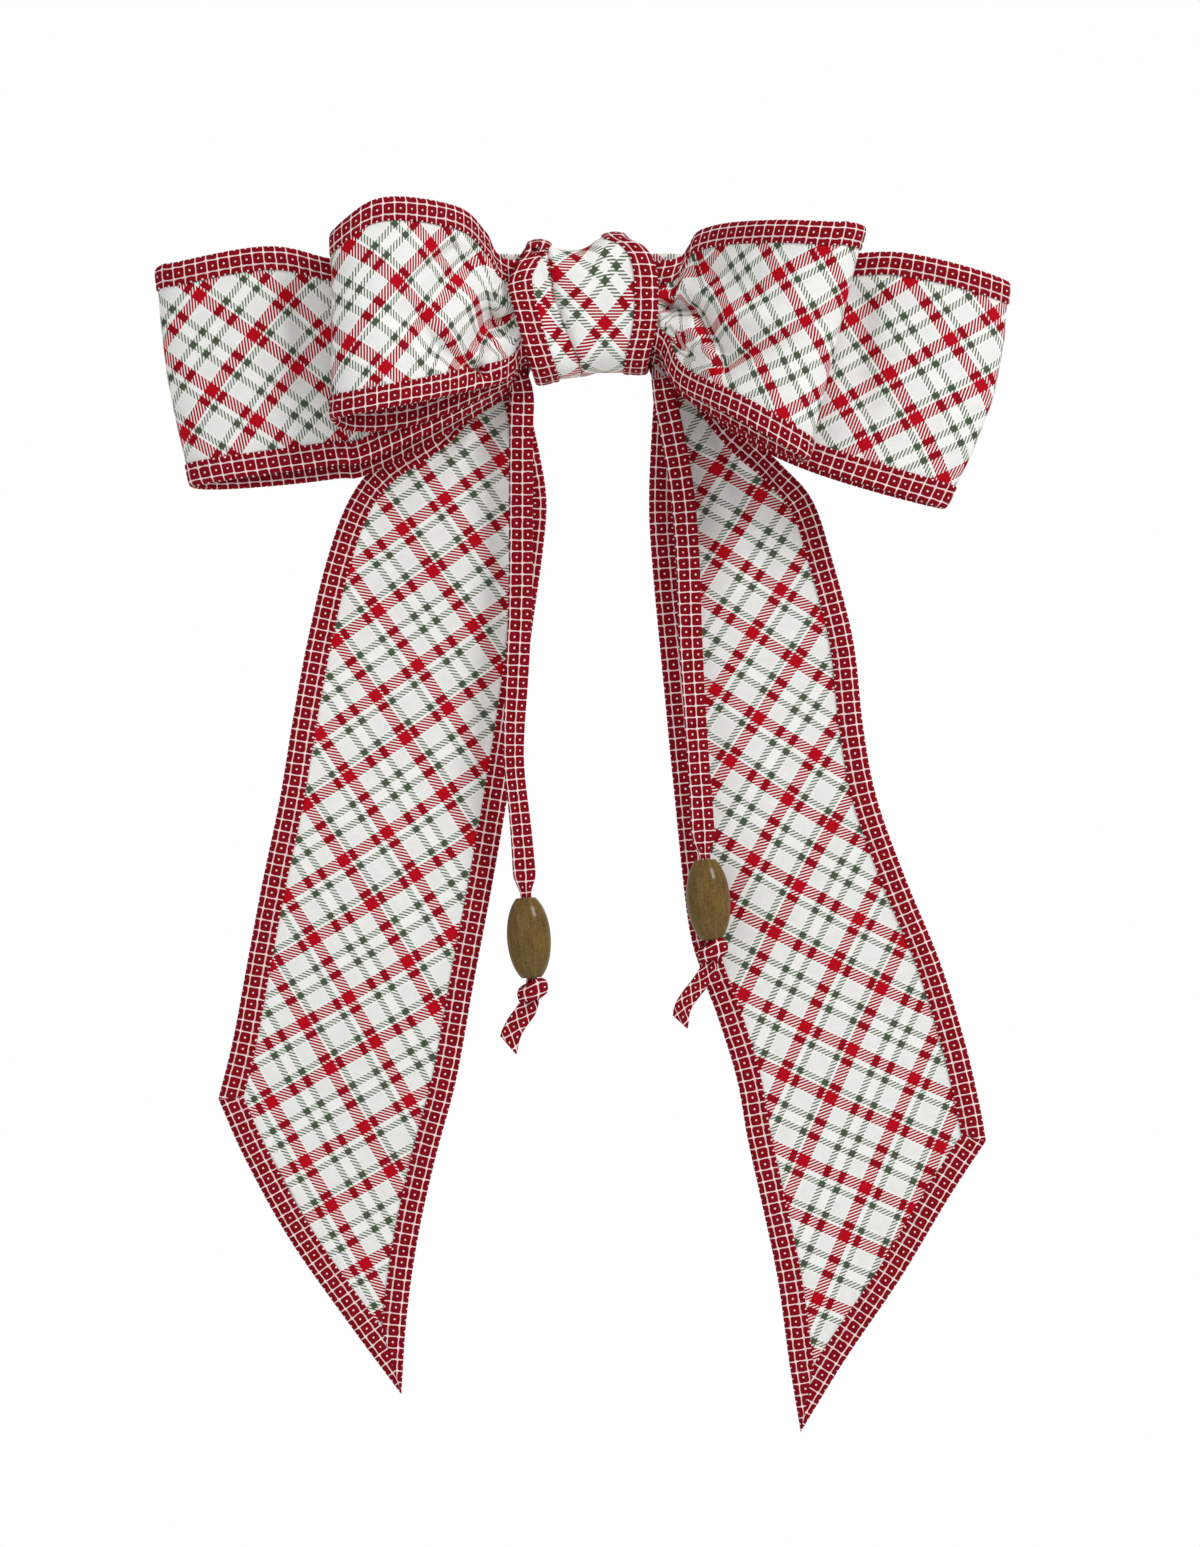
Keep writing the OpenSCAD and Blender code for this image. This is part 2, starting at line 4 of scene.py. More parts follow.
import bpy
import numpy as np
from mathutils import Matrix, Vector

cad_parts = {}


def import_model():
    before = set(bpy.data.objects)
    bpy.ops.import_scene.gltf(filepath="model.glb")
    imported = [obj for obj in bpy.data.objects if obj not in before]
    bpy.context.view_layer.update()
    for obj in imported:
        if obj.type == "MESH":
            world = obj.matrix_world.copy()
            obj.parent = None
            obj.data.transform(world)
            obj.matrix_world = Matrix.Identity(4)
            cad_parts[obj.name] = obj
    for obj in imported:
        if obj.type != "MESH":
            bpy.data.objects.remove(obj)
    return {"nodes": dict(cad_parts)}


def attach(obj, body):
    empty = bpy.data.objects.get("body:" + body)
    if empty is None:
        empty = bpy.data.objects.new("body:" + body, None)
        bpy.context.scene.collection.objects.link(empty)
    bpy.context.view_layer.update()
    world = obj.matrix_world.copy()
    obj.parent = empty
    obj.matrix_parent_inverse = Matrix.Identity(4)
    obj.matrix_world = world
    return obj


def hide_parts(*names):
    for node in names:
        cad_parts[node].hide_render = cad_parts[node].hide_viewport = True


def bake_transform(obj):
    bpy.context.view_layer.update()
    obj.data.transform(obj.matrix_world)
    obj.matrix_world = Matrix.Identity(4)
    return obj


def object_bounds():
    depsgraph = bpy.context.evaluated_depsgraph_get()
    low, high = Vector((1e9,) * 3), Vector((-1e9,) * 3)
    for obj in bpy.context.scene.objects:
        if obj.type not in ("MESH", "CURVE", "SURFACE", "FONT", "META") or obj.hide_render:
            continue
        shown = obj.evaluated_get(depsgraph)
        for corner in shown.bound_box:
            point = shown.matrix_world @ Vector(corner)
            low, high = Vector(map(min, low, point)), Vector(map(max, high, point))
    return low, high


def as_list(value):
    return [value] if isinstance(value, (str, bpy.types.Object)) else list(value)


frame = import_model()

cad_low, cad_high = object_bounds()

MM = 0.001  # every length below is in millimetres until a mesh is made

# Sizes shared with the CAD source
CLOTH_T = 0.9  # thickness of a panel
NECK_X = 21.0  # where the loops leave the knot
NECK_DEPTH = 4.4  # depth of a loop there
SWELL = 0.65  # share of its reach at which a loop has its full depth
TAIL_Y = -11.2  # depth of the tails' middle surface
FOLD_Y = -11.7  # depth of the strip between them
TIE_Y = -18.5  # depth of the ties
HEM = 3.0  # how far a panel's edge lies inside its binding's outer edge


# --- curves ---

def resample(points, count):
    """A polyline divided into points evenly spaced along it."""
    p = np.asarray(points, float)
    run = np.concatenate([[0], np.cumsum(np.linalg.norm(np.diff(p, axis=0), axis=1))])
    at = np.linspace(0, run[-1], count)
    return np.stack([np.interp(at, run, p[:, k]) for k in range(p.shape[1])], axis=1)


def smooth(points, closed=False, steps=24):
    """A dense Catmull-Rom curve through points."""
    p = np.asarray(points, float)
    if closed:
        p = np.vstack([p[-1], p, p[0], p[1]])
    else:
        p = np.vstack([2 * p[0] - p[1], p, 2 * p[-1] - p[-2]])
    t = np.linspace(0, 1, steps, endpoint=False)[:, None]
    spans = []
    for a, b, c, d in zip(p, p[1:], p[2:], p[3:]):
        spans.append(0.5 * (2 * b + (c - a) * t + (2 * a - 5 * b + 4 * c - d) * t ** 2
                            + (3 * b - a - 3 * c + d) * t ** 3))
    if not closed:
        spans.append(p[-2:-1])
    return np.vstack(spans)


def lengths_along(points):
    """Distance along a polyline at each of its points."""
    return np.concatenate([[0], np.cumsum(np.linalg.norm(np.diff(points, axis=0), axis=1))])


def ease(x):
    """A smooth step from 0 to 1 as x goes from 0 to 1."""
    x = np.clip(x, 0, 1)
    return x * x * (3 - 2 * x)


def distance_to(line, x, z):
    """Distance from points to a polyline in the XZ plane, and the share of the way along it."""
    best = np.full(x.shape, 1e9)
    share = np.zeros(x.shape)
    line = np.asarray(line, float)
    run = lengths_along(line)
    for i in range(len(line) - 1):
        a, d = line[i], line[i + 1] - line[i]
        t = np.clip(((x - a[0]) * d[0] + (z - a[1]) * d[1]) / (d @ d), 0, 1)
        gap = np.hypot(x - a[0] - t * d[0], z - a[1] - t * d[1])
        closer = gap < best
        best = np.where(closer, gap, best)
        share = np.where(closer, (run[i] + t * (run[i + 1] - run[i])) / run[-1], share)
    return best, share


def folded(x, z, folds):
    """Depth that folds press into cloth. A fold is (line, half width, depth, fade at its end)."""
    depth = np.zeros(x.shape)
    for line, width, press, fade in folds:
        gap, share = distance_to(line, x, z)
        depth += press * np.exp(-(gap / width) ** 2) * (1 - fade * ease(share))
    return depth


def anchored(uv, grid, facing, seen, target, ways):
    """Cloth coordinates shifted so that the point seen at (x, z) on the facing rows gets the
    target ones. ways is the direction of each cloth coordinate there, in x and z."""
    gap = np.hypot(grid[..., 0] - seen[0], grid[..., 2] - seen[1])
    gap[~facing] = 1e3
    at = np.unravel_index(np.argmin(gap), gap.shape)
    rest = np.array(seen) - grid[at][[0, 2]]
    return uv + np.array(target) - uv[at] - np.array(ways) @ rest


def unit(vectors):
    """Vectors of length 1, with the last axis of the array as their coordinates."""
    return vectors / np.maximum(np.linalg.norm(vectors, axis=-1, keepdims=True), 1e-9)


def directions(path):
    """The ways ahead, across (towards +X) and out (towards the viewer) at each point of a path."""
    ahead = unit(np.gradient(path, axis=0))
    side = unit(np.cross(ahead, (0, 1, 0)))
    side *= np.sign(side[:, :1])
    out = np.cross(side, ahead)
    return ahead, side, out * -np.sign(out[:, 1:2])


# --- meshes ---

def normals_of(grid):
    """Unit normals of a grid of points, from its rows and columns."""
    return unit(np.cross(np.gradient(grid, axis=0), np.gradient(grid, axis=1)))


def make(name, points, faces, uvs, material, body=None):
    """A smooth mesh from points in millimetres, with one UV for each point, in millimetres."""
    mesh = bpy.data.meshes.new(name)
    mesh.from_pydata((np.asarray(points) * MM).tolist(), [], faces)
    layer = mesh.uv_layers.new(name="cloth")
    index = np.zeros(len(mesh.loops), int)
    mesh.loops.foreach_get("vertex_index", index)
    layer.data.foreach_set("uv", np.asarray(uvs, np.float32)[index].ravel())
    mesh.shade_smooth()
    mesh.validate()
    piece = bpy.data.objects.new(name, mesh)
    bpy.context.scene.collection.objects.link(piece)
    mesh.materials.append(material)
    if body:
        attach(piece, body)
    return piece


def shell(name, grid, thickness, uv, material, body=None):
    """A closed sheet of cloth: a grid of points thickened to both sides, with a rim."""
    rows, cols = grid.shape[:2]
    n = normals_of(grid) * thickness / 2
    front, back = (grid + n).reshape(-1, 3), (grid - n).reshape(-1, 3)
    size = rows * cols
    at = np.arange(size).reshape(rows, cols)
    quads = np.stack([at[:-1, :-1], at[1:, :-1], at[1:, 1:], at[:-1, 1:]], axis=-1).reshape(-1, 4)
    faces = quads.tolist() + (quads[:, ::-1] + size).tolist()
    rim = list(at[0, :]) + list(at[1:, -1]) + list(at[-1, -2::-1]) + list(at[-2:0:-1, 0])
    for i, a in enumerate(rim):
        b = rim[(i + 1) % len(rim)]
        faces.append([int(a), int(b), int(b) + size, int(a) + size])
    uvs = np.vstack([uv.reshape(-1, 2), uv.reshape(-1, 2)])
    return make(name, np.vstack([front, back]), faces, uvs, material, body)


def tube(name, rings, uv, material, body=None, closed=False):
    """A closed tube through rings of points, capped unless it closes on itself."""
    count, sides = rings.shape[:2]
    at = np.arange(count * sides).reshape(count, sides)
    if closed:
        at = np.vstack([at, at[:1]])
    turned = np.roll(at, -1, axis=1)
    quads = np.stack([at[:-1], turned[:-1], turned[1:], at[1:]], axis=-1).reshape(-1, 4)
    faces = quads.tolist()
    if not closed:
        faces += [at[0, ::-1].tolist(), at[-1].tolist()]
    return make(name, rings.reshape(-1, 3), faces, uv.reshape(-1, 2), material, body)


# Half of the folded tape's section: distance from its outer edge, height above the cloth's middle
TAPE = np.array([
    (6.0, 0.2), (6.0, 0.78), (5.8, 0.95), (5.2, 1.0), (4.75, 0.94), (4.5, 0.76), (4.25, 0.94),
    (3.6, 1.04), (2.6, 1.08), (1.5, 1.04), (0.7, 0.88), (0.2, 0.5), (0.0, 0.0),
])
TAPE_SECTION = np.vstack([TAPE, (TAPE[:-1] * (1, -1))[::-1]])
STITCH_IN = 4.45  # the topstitching's distance from the outer edge
STITCH_H = 0.86  # and its height


def binding(name, place, along, body, closed=False, sewn=None):
    """A folded tape round an edge and its topstitching. place(a, b) gives points at distance a
    inside the edge and height b above the cloth; along is the distance along the edge at each row;
    sewn picks the rows that the stitches follow."""
    rings = np.stack([place(a, b) for a, b in TAPE_SECTION], axis=1)
    across = np.where(TAPE_SECTION[:, 1] >= 0, TAPE_SECTION[:, 0], -TAPE_SECTION[:, 0])
    uv = np.stack(np.broadcast_arrays(along[:, None], across[None, :]), axis=-1)
    tape = tube(name, rings, uv, binding_print, body, closed=closed)
    return tape, topstitch(name + "_stitches", place, body, sewn)


STITCH_START = 1.0
STITCH_L = 1.9
STITCH_GAP = 1.1
STITCH_R = 0.2
STITCH_SIDES = 6
# Along a stitch: share of its length, share of its radius, lift in radii
STITCH_SHAPE = np.array([(0, 0.35, -1.2), (0.12, 0.85, -0.2), (0.5, 1, 0.1), (0.88, 0.85, -0.2),
                         (1, 0.35, -1.2)])


def topstitch(name, place, body, sewn=None):
    """Dashes of thread along both faces of a binding."""
    points, faces, uvs = [], [], []
    rows = slice(None) if sewn is None else sewn
    rings, n = len(STITCH_SHAPE), STITCH_SIDES
    for sign in (1, -1):
        line = place(STITCH_IN, sign * STITCH_H)[rows]
        out = place(STITCH_IN, sign * (STITCH_H + 1))[rows] - line
        run = lengths_along(line)
        start = STITCH_START
        while start + STITCH_L < run[-1]:
            at = start + STITCH_SHAPE[:, 0] * STITCH_L
            mid, up = (np.stack([np.interp(at, run, way[:, k]) for k in range(3)], axis=1)
                       for way in (line, out))
            up = unit(up)
            side = np.cross(up, unit(mid[-1] - mid[0]))
            radius, lift = STITCH_R * STITCH_SHAPE[:, 1], STITCH_R * STITCH_SHAPE[:, 2]
            base = len(points)
            for k in range(rings):
                for turn in range(n):
                    angle = math.tau * turn / n
                    points.append(mid[k] + up[k] * (lift[k] + radius[k] * math.sin(angle))
                                  + side[k] * radius[k] * math.cos(angle))
                    uvs.append((at[k], turn * STITCH_R))
            for k in range(rings - 1):
                for turn in range(n):
                    a, b = base + n * k + turn, base + n * k + (turn + 1) % n
                    faces.append([a, b, b + n, a + n])
            faces.append([base + turn for turn in reversed(range(n))])
            faces.append([base + n * (rings - 1) + turn for turn in range(n)])
            start += STITCH_L + STITCH_GAP
    piece = make(name, points, faces, uvs, topstitch_thread, body)
    return piece


# --- materials ---

class Graph:
    """A material's node tree, with short calls for its nodes."""

    def __init__(self, name, **sockets):
        self.material = bpy.data.materials.new(name)
        self.material.use_nodes = True
        self.tree = self.material.node_tree
        self.shader = self.tree.nodes["Principled BSDF"]
        for socket, value in sockets.items():
            self.shader.inputs[socket.replace("_", " ")].default_value = value

    def node(self, kind, **settings):
        made = self.tree.nodes.new(kind)
        for key, value in settings.items():
            setattr(made, key, value)
        return made

    def put(self, socket, value):
        if isinstance(value, bpy.types.NodeSocket):
            self.tree.links.new(value, socket)
        else:
            socket.default_value = value

    def math(self, operation, a, b=None):
        made = self.node("ShaderNodeMath", operation=operation)
        self.put(made.inputs[0], a)
        if b is not None:
            self.put(made.inputs[1], b)
        return made.outputs[0]

    def times(self, a, b):
        return self.math("MULTIPLY", a, b)

    def plus(self, a, b):
        return self.math("ADD", a, b)

    def centred(self, factor, width):
        """A noise of 0 to 1 made to spread over width, around 0."""
        return self.times(self.math("SUBTRACT", factor, 0.5), width)

    def uv(self):
        """The two cloth coordinates, in millimetres."""
        split = self.node("ShaderNodeSeparateXYZ")
        self.put(split.inputs[0], self.node("ShaderNodeUVMap", uv_map="cloth").outputs[0])
        return split.outputs[0], split.outputs[1]

    def join(self, x, y, z=0.0):
        made = self.node("ShaderNodeCombineXYZ")
        for socket, value in zip(made.inputs, (x, y, z)):
            self.put(socket, value)
        return made.outputs[0]

    def noise(self, vector, scale, detail=2.0, rough=0.5):
        made = self.node("ShaderNodeTexNoise")
        self.put(made.inputs["Vector"], vector)
        made.inputs["Scale"].default_value = scale
        made.inputs["Detail"].default_value = detail
        made.inputs["Roughness"].default_value = rough
        return made.outputs["Fac"]

    def ramp(self, factor, stops, hard=False):
        made = self.node("ShaderNodeValToRGB")
        made.color_ramp.interpolation = "CONSTANT" if hard else "LINEAR"
        elements = made.color_ramp.elements
        while len(elements) > 1:
            elements.remove(elements[-1])
        elements[0].position, elements[0].color = stops[0][0], (*stops[0][1], 1)
        for position, colour in stops[1:]:
            elements.new(position).color = (*colour, 1)
        self.put(made.inputs[0], factor)
        return made.outputs[0]

    def mix(self, factor, a, b, blend="MIX"):
        made = self.node("ShaderNodeMix", data_type="RGBA", blend_type=blend)
        self.put(made.inputs[0], factor)
        for socket, value in zip((made.inputs[6], made.inputs[7]), (a, b)):
            self.put(socket, (*value, 1) if isinstance(value, tuple) else value)
        return made.outputs[2]

    def finish(self, colour, height=None, roughness=None, strength=0.3, distance=0.0002):
        self.put(self.shader.inputs["Base Color"], colour)
        if roughness is not None:
            self.put(self.shader.inputs["Roughness"], roughness)
        if height is not None:
            bump = self.node("ShaderNodeBump")
            bump.inputs["Strength"].default_value = strength
            bump.inputs["Distance"].default_value = distance
            self.put(bump.inputs["Height"], height)
            self.put(self.shader.inputs["Normal"], bump.outputs[0])
        return self.material


def colour(code):
    """A hex colour as linear light."""
    parts = [int(code[i:i + 2], 16) / 255 for i in (0, 2, 4)]
    return tuple(c / 12.92 if c <= 0.04045 else ((c + 0.055) / 1.055) ** 2.4 for c in parts)


SETT = 30.0  # the plaid repeats over this length
TWILL = 0.72  # pitch of its hatching
GREEN_DUTY, RED_DUTY = 0.48, 0.62  # share of the pitch that a hatching line fills
PLAID_DRIFT = 0.8  # how far the print wanders from straight
YARNS = 17.0  # angle of the weave's wave for each millimetre
RED_BANDS = [(0, 1.5), (15.5, 18.5), (28.5, 30)]
GREEN_BANDS = [(5.7, 7.3), (9.7, 11.3), (19.6, 21.2), (26.4, 28)]
WIDE_GAPS = [(1.8, 5.4), (11.6, 15.2), (21.5, 26.1)]
RED_CROSSING = (17 * math.sqrt(2), 0.0)  # cloth coordinates where two red bands cross

GREEN_SHARE, RED_SHARE = 0.125, 0.375  # a band's part in the sum of the two directions
# Colour of each sum, from its lower limit up: cream, green lines, green, red lines, both, red
DYES = [(at, colour(code)) for at, code in (
    (0.0, "e9e9e5"), (0.0625, "6a7361"), (0.1875, "4c5745"), (0.3125, "a80d26"),
    (0.4375, "920719"), (0.625, "b4051a"))]
# Whether each sum is printed solid, from its lower limit up
SOLID = [(0.0, 0), (0.1875, 1), (0.3125, 0), (0.4375, 1)]


def steps_of(bands):
    """Stops of a hard ramp from bands of the sett, each (low, high, value), and 0 elsewhere."""
    stops = [(0.0, (0, 0, 0))]
    for low, high, value in sorted(bands):
        if low == 0:
            stops = []
        stops.append((low / SETT, (value,) * 3))
        if high < SETT:
            stops.append((high / SETT, (0, 0, 0)))
    return stops


def plaid_material():
    """Bias-cut tartan print: solid where two bands cross, hatched where there is one."""
    g = Graph("plaid_cloth", Specular_IOR_Level=0.08)
    u, v = g.uv()
    flat = g.join(u, v)
    drift = g.centred(g.noise(flat, 0.07, 1.0), PLAID_DRIFT)
    u2 = g.plus(u, drift)
    turned = math.sqrt(0.5) / SETT
    total = g.times(g.plus(u2, v), turned)
    across = g.times(g.math("SUBTRACT", u2, v), turned)
    dyed_bands = steps_of([(*band, RED_SHARE) for band in RED_BANDS]
                          + [(*band, GREEN_SHARE) for band in GREEN_BANDS])
    gaps = steps_of([(*band, 1) for band in WIDE_GAPS])
    ways = [g.math("FRACT", way) for way in (total, across)]
    both = g.plus(*[g.ramp(way, dyed_bands, hard=True) for way in ways])
    dye = g.ramp(both, DYES, hard=True)
    solid = g.ramp(both, [(at, (value,) * 3) for at, value in SOLID], hard=True)
    is_red = g.math("GREATER_THAN", both, 0.3)
    inked = g.plus(g.times(is_red, RED_DUTY - GREEN_DUTY), GREEN_DUTY)
    hatch = g.math("LESS_THAN", g.math("FRACT", g.times(u, 1 / TWILL)), inked)
    wide = g.times(*[g.ramp(way, gaps, hard=True) for way in ways])
    ground = g.mix(wide, colour("f3f3f0"), colour("ececea"))
    cloth = g.mix(g.math("MAXIMUM", solid, hatch), ground, g.mix(
        g.math("LESS_THAN", both, GREEN_SHARE / 2), dye, ground))
    shade = g.ramp(g.noise(flat, 0.35, 4.0), [(0.3, (0.94, 0.935, 0.93)), (0.7, (1, 1, 1))])
    yarn = g.ramp(g.noise(flat, 3.5, 3.0, 0.7), [(0.3, (0.9, 0.9, 0.89)), (0.65, (1, 1, 1))])
    cloth = g.mix(1.0, g.mix(1.0, cloth, shade, "MULTIPLY"), yarn, "MULTIPLY")
    threads = g.times(*[g.math("SINE", g.times(way, YARNS)) for way in (u, v)])
    height = g.plus(g.times(threads, 0.25), g.noise(flat, 1.4, 4.0, 0.6))
    rough = g.plus(g.times(g.noise(flat, 0.8), 0.15), 0.72)
    return g.finish(cloth, height, rough, 0.35)


PRINT = 2.85  # pitch of the printed squares
PRINT_START = 1.5  # from the tape's outer edge to the first line between squares
SQUARE = 0.91  # side of a square as a share of the pitch
SQUARENESS = 7.0  # how sharp a square's corners are
DOT = 0.085  # radius of its dot as a share of the pitch
CRIMSON = colour("8e0419")
CRIMSON_DARK = colour("730312")
PALE = colour("f3dcda")
PRINT_WOBBLE = 0.4  # how far the squares wander from their grid


def print_material(name):
    """Crimson rounded squares on a pale grid, with a white dot in each."""
    g = Graph(name, Specular_IOR_Level=0.08)
    u, v = g.uv()
    flat = g.join(u, v)
    wobble = g.centred(g.noise(flat, 0.5, 1.0), PRINT_WOBBLE)
    u2 = g.times(g.plus(u, wobble), 1 / PRINT)
    v2 = g.times(g.plus(g.math("SUBTRACT", v, wobble), 100 * PRINT - PRINT_START), 1 / PRINT)
    cu, cv = (g.math("SUBTRACT", g.math("FRACT", way), 0.5) for way in (u2, v2))
    power = [g.math("POWER", g.times(g.math("ABSOLUTE", c), 2.0), SQUARENESS) for c in (cu, cv)]
    square = g.math("LESS_THAN", g.plus(*power), SQUARE ** SQUARENESS)
    round2 = g.plus(g.times(cu, cu), g.times(cv, cv))
    dot = g.math("LESS_THAN", round2, DOT ** 2)
    cell = g.join(g.math("FLOOR", u2), g.math("FLOOR", v2))
    dye = g.mix(g.noise(cell, 0.9, 0.0), CRIMSON_DARK, CRIMSON)
    fill = g.mix(dot, g.mix(square, PALE, dye), PALE)
    shade = g.ramp(g.noise(flat, 2.5, 3.0, 0.7), [(0.3, (0.86, 0.86, 0.86)), (0.7, (1, 1, 1))])
    height = g.plus(g.noise(flat, 2.2, 4.0, 0.7), g.times(square, 0.12))
    rough = g.plus(g.times(g.noise(flat, 0.8), 0.15), 0.66)
    return g.finish(g.mix(1.0, fill, shade, "MULTIPLY"), height, rough, 0.35)


def wood_material():
    """Varnished wood, its grain along the bead."""
    g = Graph("bead_wood", Coat_Weight=0.28, Coat_Roughness=0.06, Specular_IOR_Level=0.08)
    u, v = g.uv()
    grain = g.noise(g.join(g.times(u, 1.6), g.times(v, 0.22)), 0.8, 5.0, 0.65)
    flecks = g.noise(g.join(g.times(u, 3.0), g.times(v, 1.2)), 1.2, 3.0, 0.7)
    tone = g.ramp(grain, [(0.28, colour("473211")), (0.5, colour("674e24")),
                          (0.72, colour("836836"))])
    mottle = g.ramp(flecks, [(0.35, colour("3c2a0c")), (0.6, colour("755d2d"))])
    rough = g.plus(g.times(flecks, 0.2), 0.3)
    return g.finish(g.mix(0.45, tone, mottle), grain, rough, 0.12)


def steel_material():
    """Steel brushed along the barrette."""
    g = Graph("barrette_steel", Metallic=1.0)
    where = g.node("ShaderNodeTexCoord").outputs["Object"]
    stretch = g.node("ShaderNodeMapping")
    stretch.inputs["Scale"].default_value = (400, 3000, 3000)
    g.put(stretch.inputs["Vector"], where)
    brushed = g.noise(stretch.outputs[0], 1.0, 4.0, 0.7)
    worn = g.noise(where, 160.0, 3.0)
    tone = g.ramp(brushed, [(0.3, (0.5, 0.5, 0.52)), (0.7, (0.7, 0.7, 0.71))])
    rough = g.plus(g.times(worn, 0.2), g.times(brushed, 0.18))
    return g.finish(tone, brushed, rough, 0.08, 0.00005)


def thread_material(name, groove_shade, light, object_space=False):
    """Twisted sewing thread, with painted shade in the grooves of its twist."""
    g = Graph(name, Sheen_Weight=0.2, Sheen_Roughness=0.4)
    if object_space:
        split = g.node("ShaderNodeSeparateXYZ")
        g.put(split.inputs[0], g.node("ShaderNodeTexCoord").outputs["Object"])
        u = g.times(split.outputs[2], 1 / MM)
        v = g.times(g.plus(split.outputs[0], split.outputs[1]), 1 / MM)
    else:
        u, v = g.uv()
    twist = g.math("SINE", g.times(g.plus(u, g.times(v, 0.8)), 14.0))
    # painted shade: the colour runs from a darker painted shade in the twist's grooves to the
    # thread's own colour on its crowns
    tone = g.ramp(g.plus(g.times(twist, 0.35), 0.5), [(0.1, groove_shade), (0.8, light)])
    rough = g.plus(g.times(g.noise(g.join(u, v), 1.5), 0.2), 0.5)
    return g.finish(tone, twist, rough, 0.3, 0.0001)


plaid = plaid_material()
binding_print = print_material("binding")
tie_print = print_material("tie")
wood = wood_material()
steel = steel_material()
# the first colour of each thread is painted shade for the grooves of its twist, the second its own
# colour
topstitch_thread = thread_material("topstitch_thread", colour("c98f93"), colour("f4e4e2"))
sewing_thread = thread_material("sewing_thread", colour("5c0a16"), colour("a01c2e"), True)


# --- camera ---

VIEW_DISTANCE = 3.2  # metres, as the other values here
VIEW_HEIGHT = 0.38675  # height of the view at the bow
VIEW_CENTRE = Vector((0.0025, -0.02, -0.1159))
SENSOR = 36.0

camera_data = bpy.data.cameras.new("camera")
camera_data.sensor_width = SENSOR
camera_data.lens = SENSOR * VIEW_DISTANCE / VIEW_HEIGHT
camera = bpy.data.objects.new("camera", camera_data)
camera.location = VIEW_CENTRE - Vector((0, VIEW_DISTANCE, 0))
camera.rotation_euler = (math.radians(90), 0, 0)
bpy.context.scene.collection.objects.link(camera)
bpy.context.scene.camera = camera


# --- ties, knots and beads ---

# Centrelines in x, y and z, from under the knot through the bead
LEFT_ROUTE = [(-18.3, -19.2, -15)] + [(x, TIE_Y, z) for x, z in (
    (-17, -20.5), (-17.2, -30), (-17.3, -48), (-17.4, -70), (-18.2, -90), (-19, -105),
    (-18.9, -115), (-17.3, -130), (-16, -147), (-14.5, -168))]
RIGHT_ROUTE = [(17.6, -19.2, -17)] + [(x, TIE_Y, z) for x, z in (
    (18.6, -22.5), (20.4, -30), (23, -45), (24.4, -62), (25.2, -83), (26.5, -105),
    (27.6, -120), (28.75, -137.5), (30.5, -158))]
LEFT_BEAD_TOP = np.array((-16, TIE_Y, -147))
RIGHT_BEAD_TOP = np.array((28.75, TIE_Y, -137.5))
TIE_W = 6.0
TIE_T = 1.4
BUNCHED = 2.7  # width and thickness of a tie inside its bead
BUNCHES_OVER = 0.6, 5.5  # height above the bead where a tie is bunched, and length of the change
TOP_L = 9.0  # a tie is narrower and thinner over this length at its top
TOP_NARROW, TOP_THIN = 0.22, 0.35
SLIM_AT, SLIM_OVER = 30.0, 22.0  # height above the bead where a tie is slimmest, and over how far
TWIST, TWIST_L = 0.16, 21.0  # slope of a tie's slow twist, and length of a radian of it
PINCH = 0.32  # height of the folds where it is bunched
BACK_FACE = 10.2  # from the print on a tie's front to the print on its back

# The tie's section: share of its half width, share of its half thickness
TIE_SECTION = np.array([
    (-1, 0), (-0.96, 0.62), (-0.8, 0.95), (-0.45, 1.0), (-0.22, 0.96), (-0.16, 0.62), (-0.1, 0.96),
    (0.2, 1.0), (0.6, 0.98), (0.85, 0.9), (0.97, 0.55), (1, 0), (0.97, -0.6), (0.85, -0.95),
    (0.4, -1.0), (0, -1.0), (-0.4, -1.0), (-0.8, -0.95), (-0.97, -0.6)
])


# Heights above the bead: top of the part that gathers as the bead slides up, and where it starts
# and stops to do so
GATHER_FROM, GATHER_START, GATHER_END = 34.0, 30.0, 6.0
MOUTH_IN = 2.5  # how far the gathered part reaches into the bore


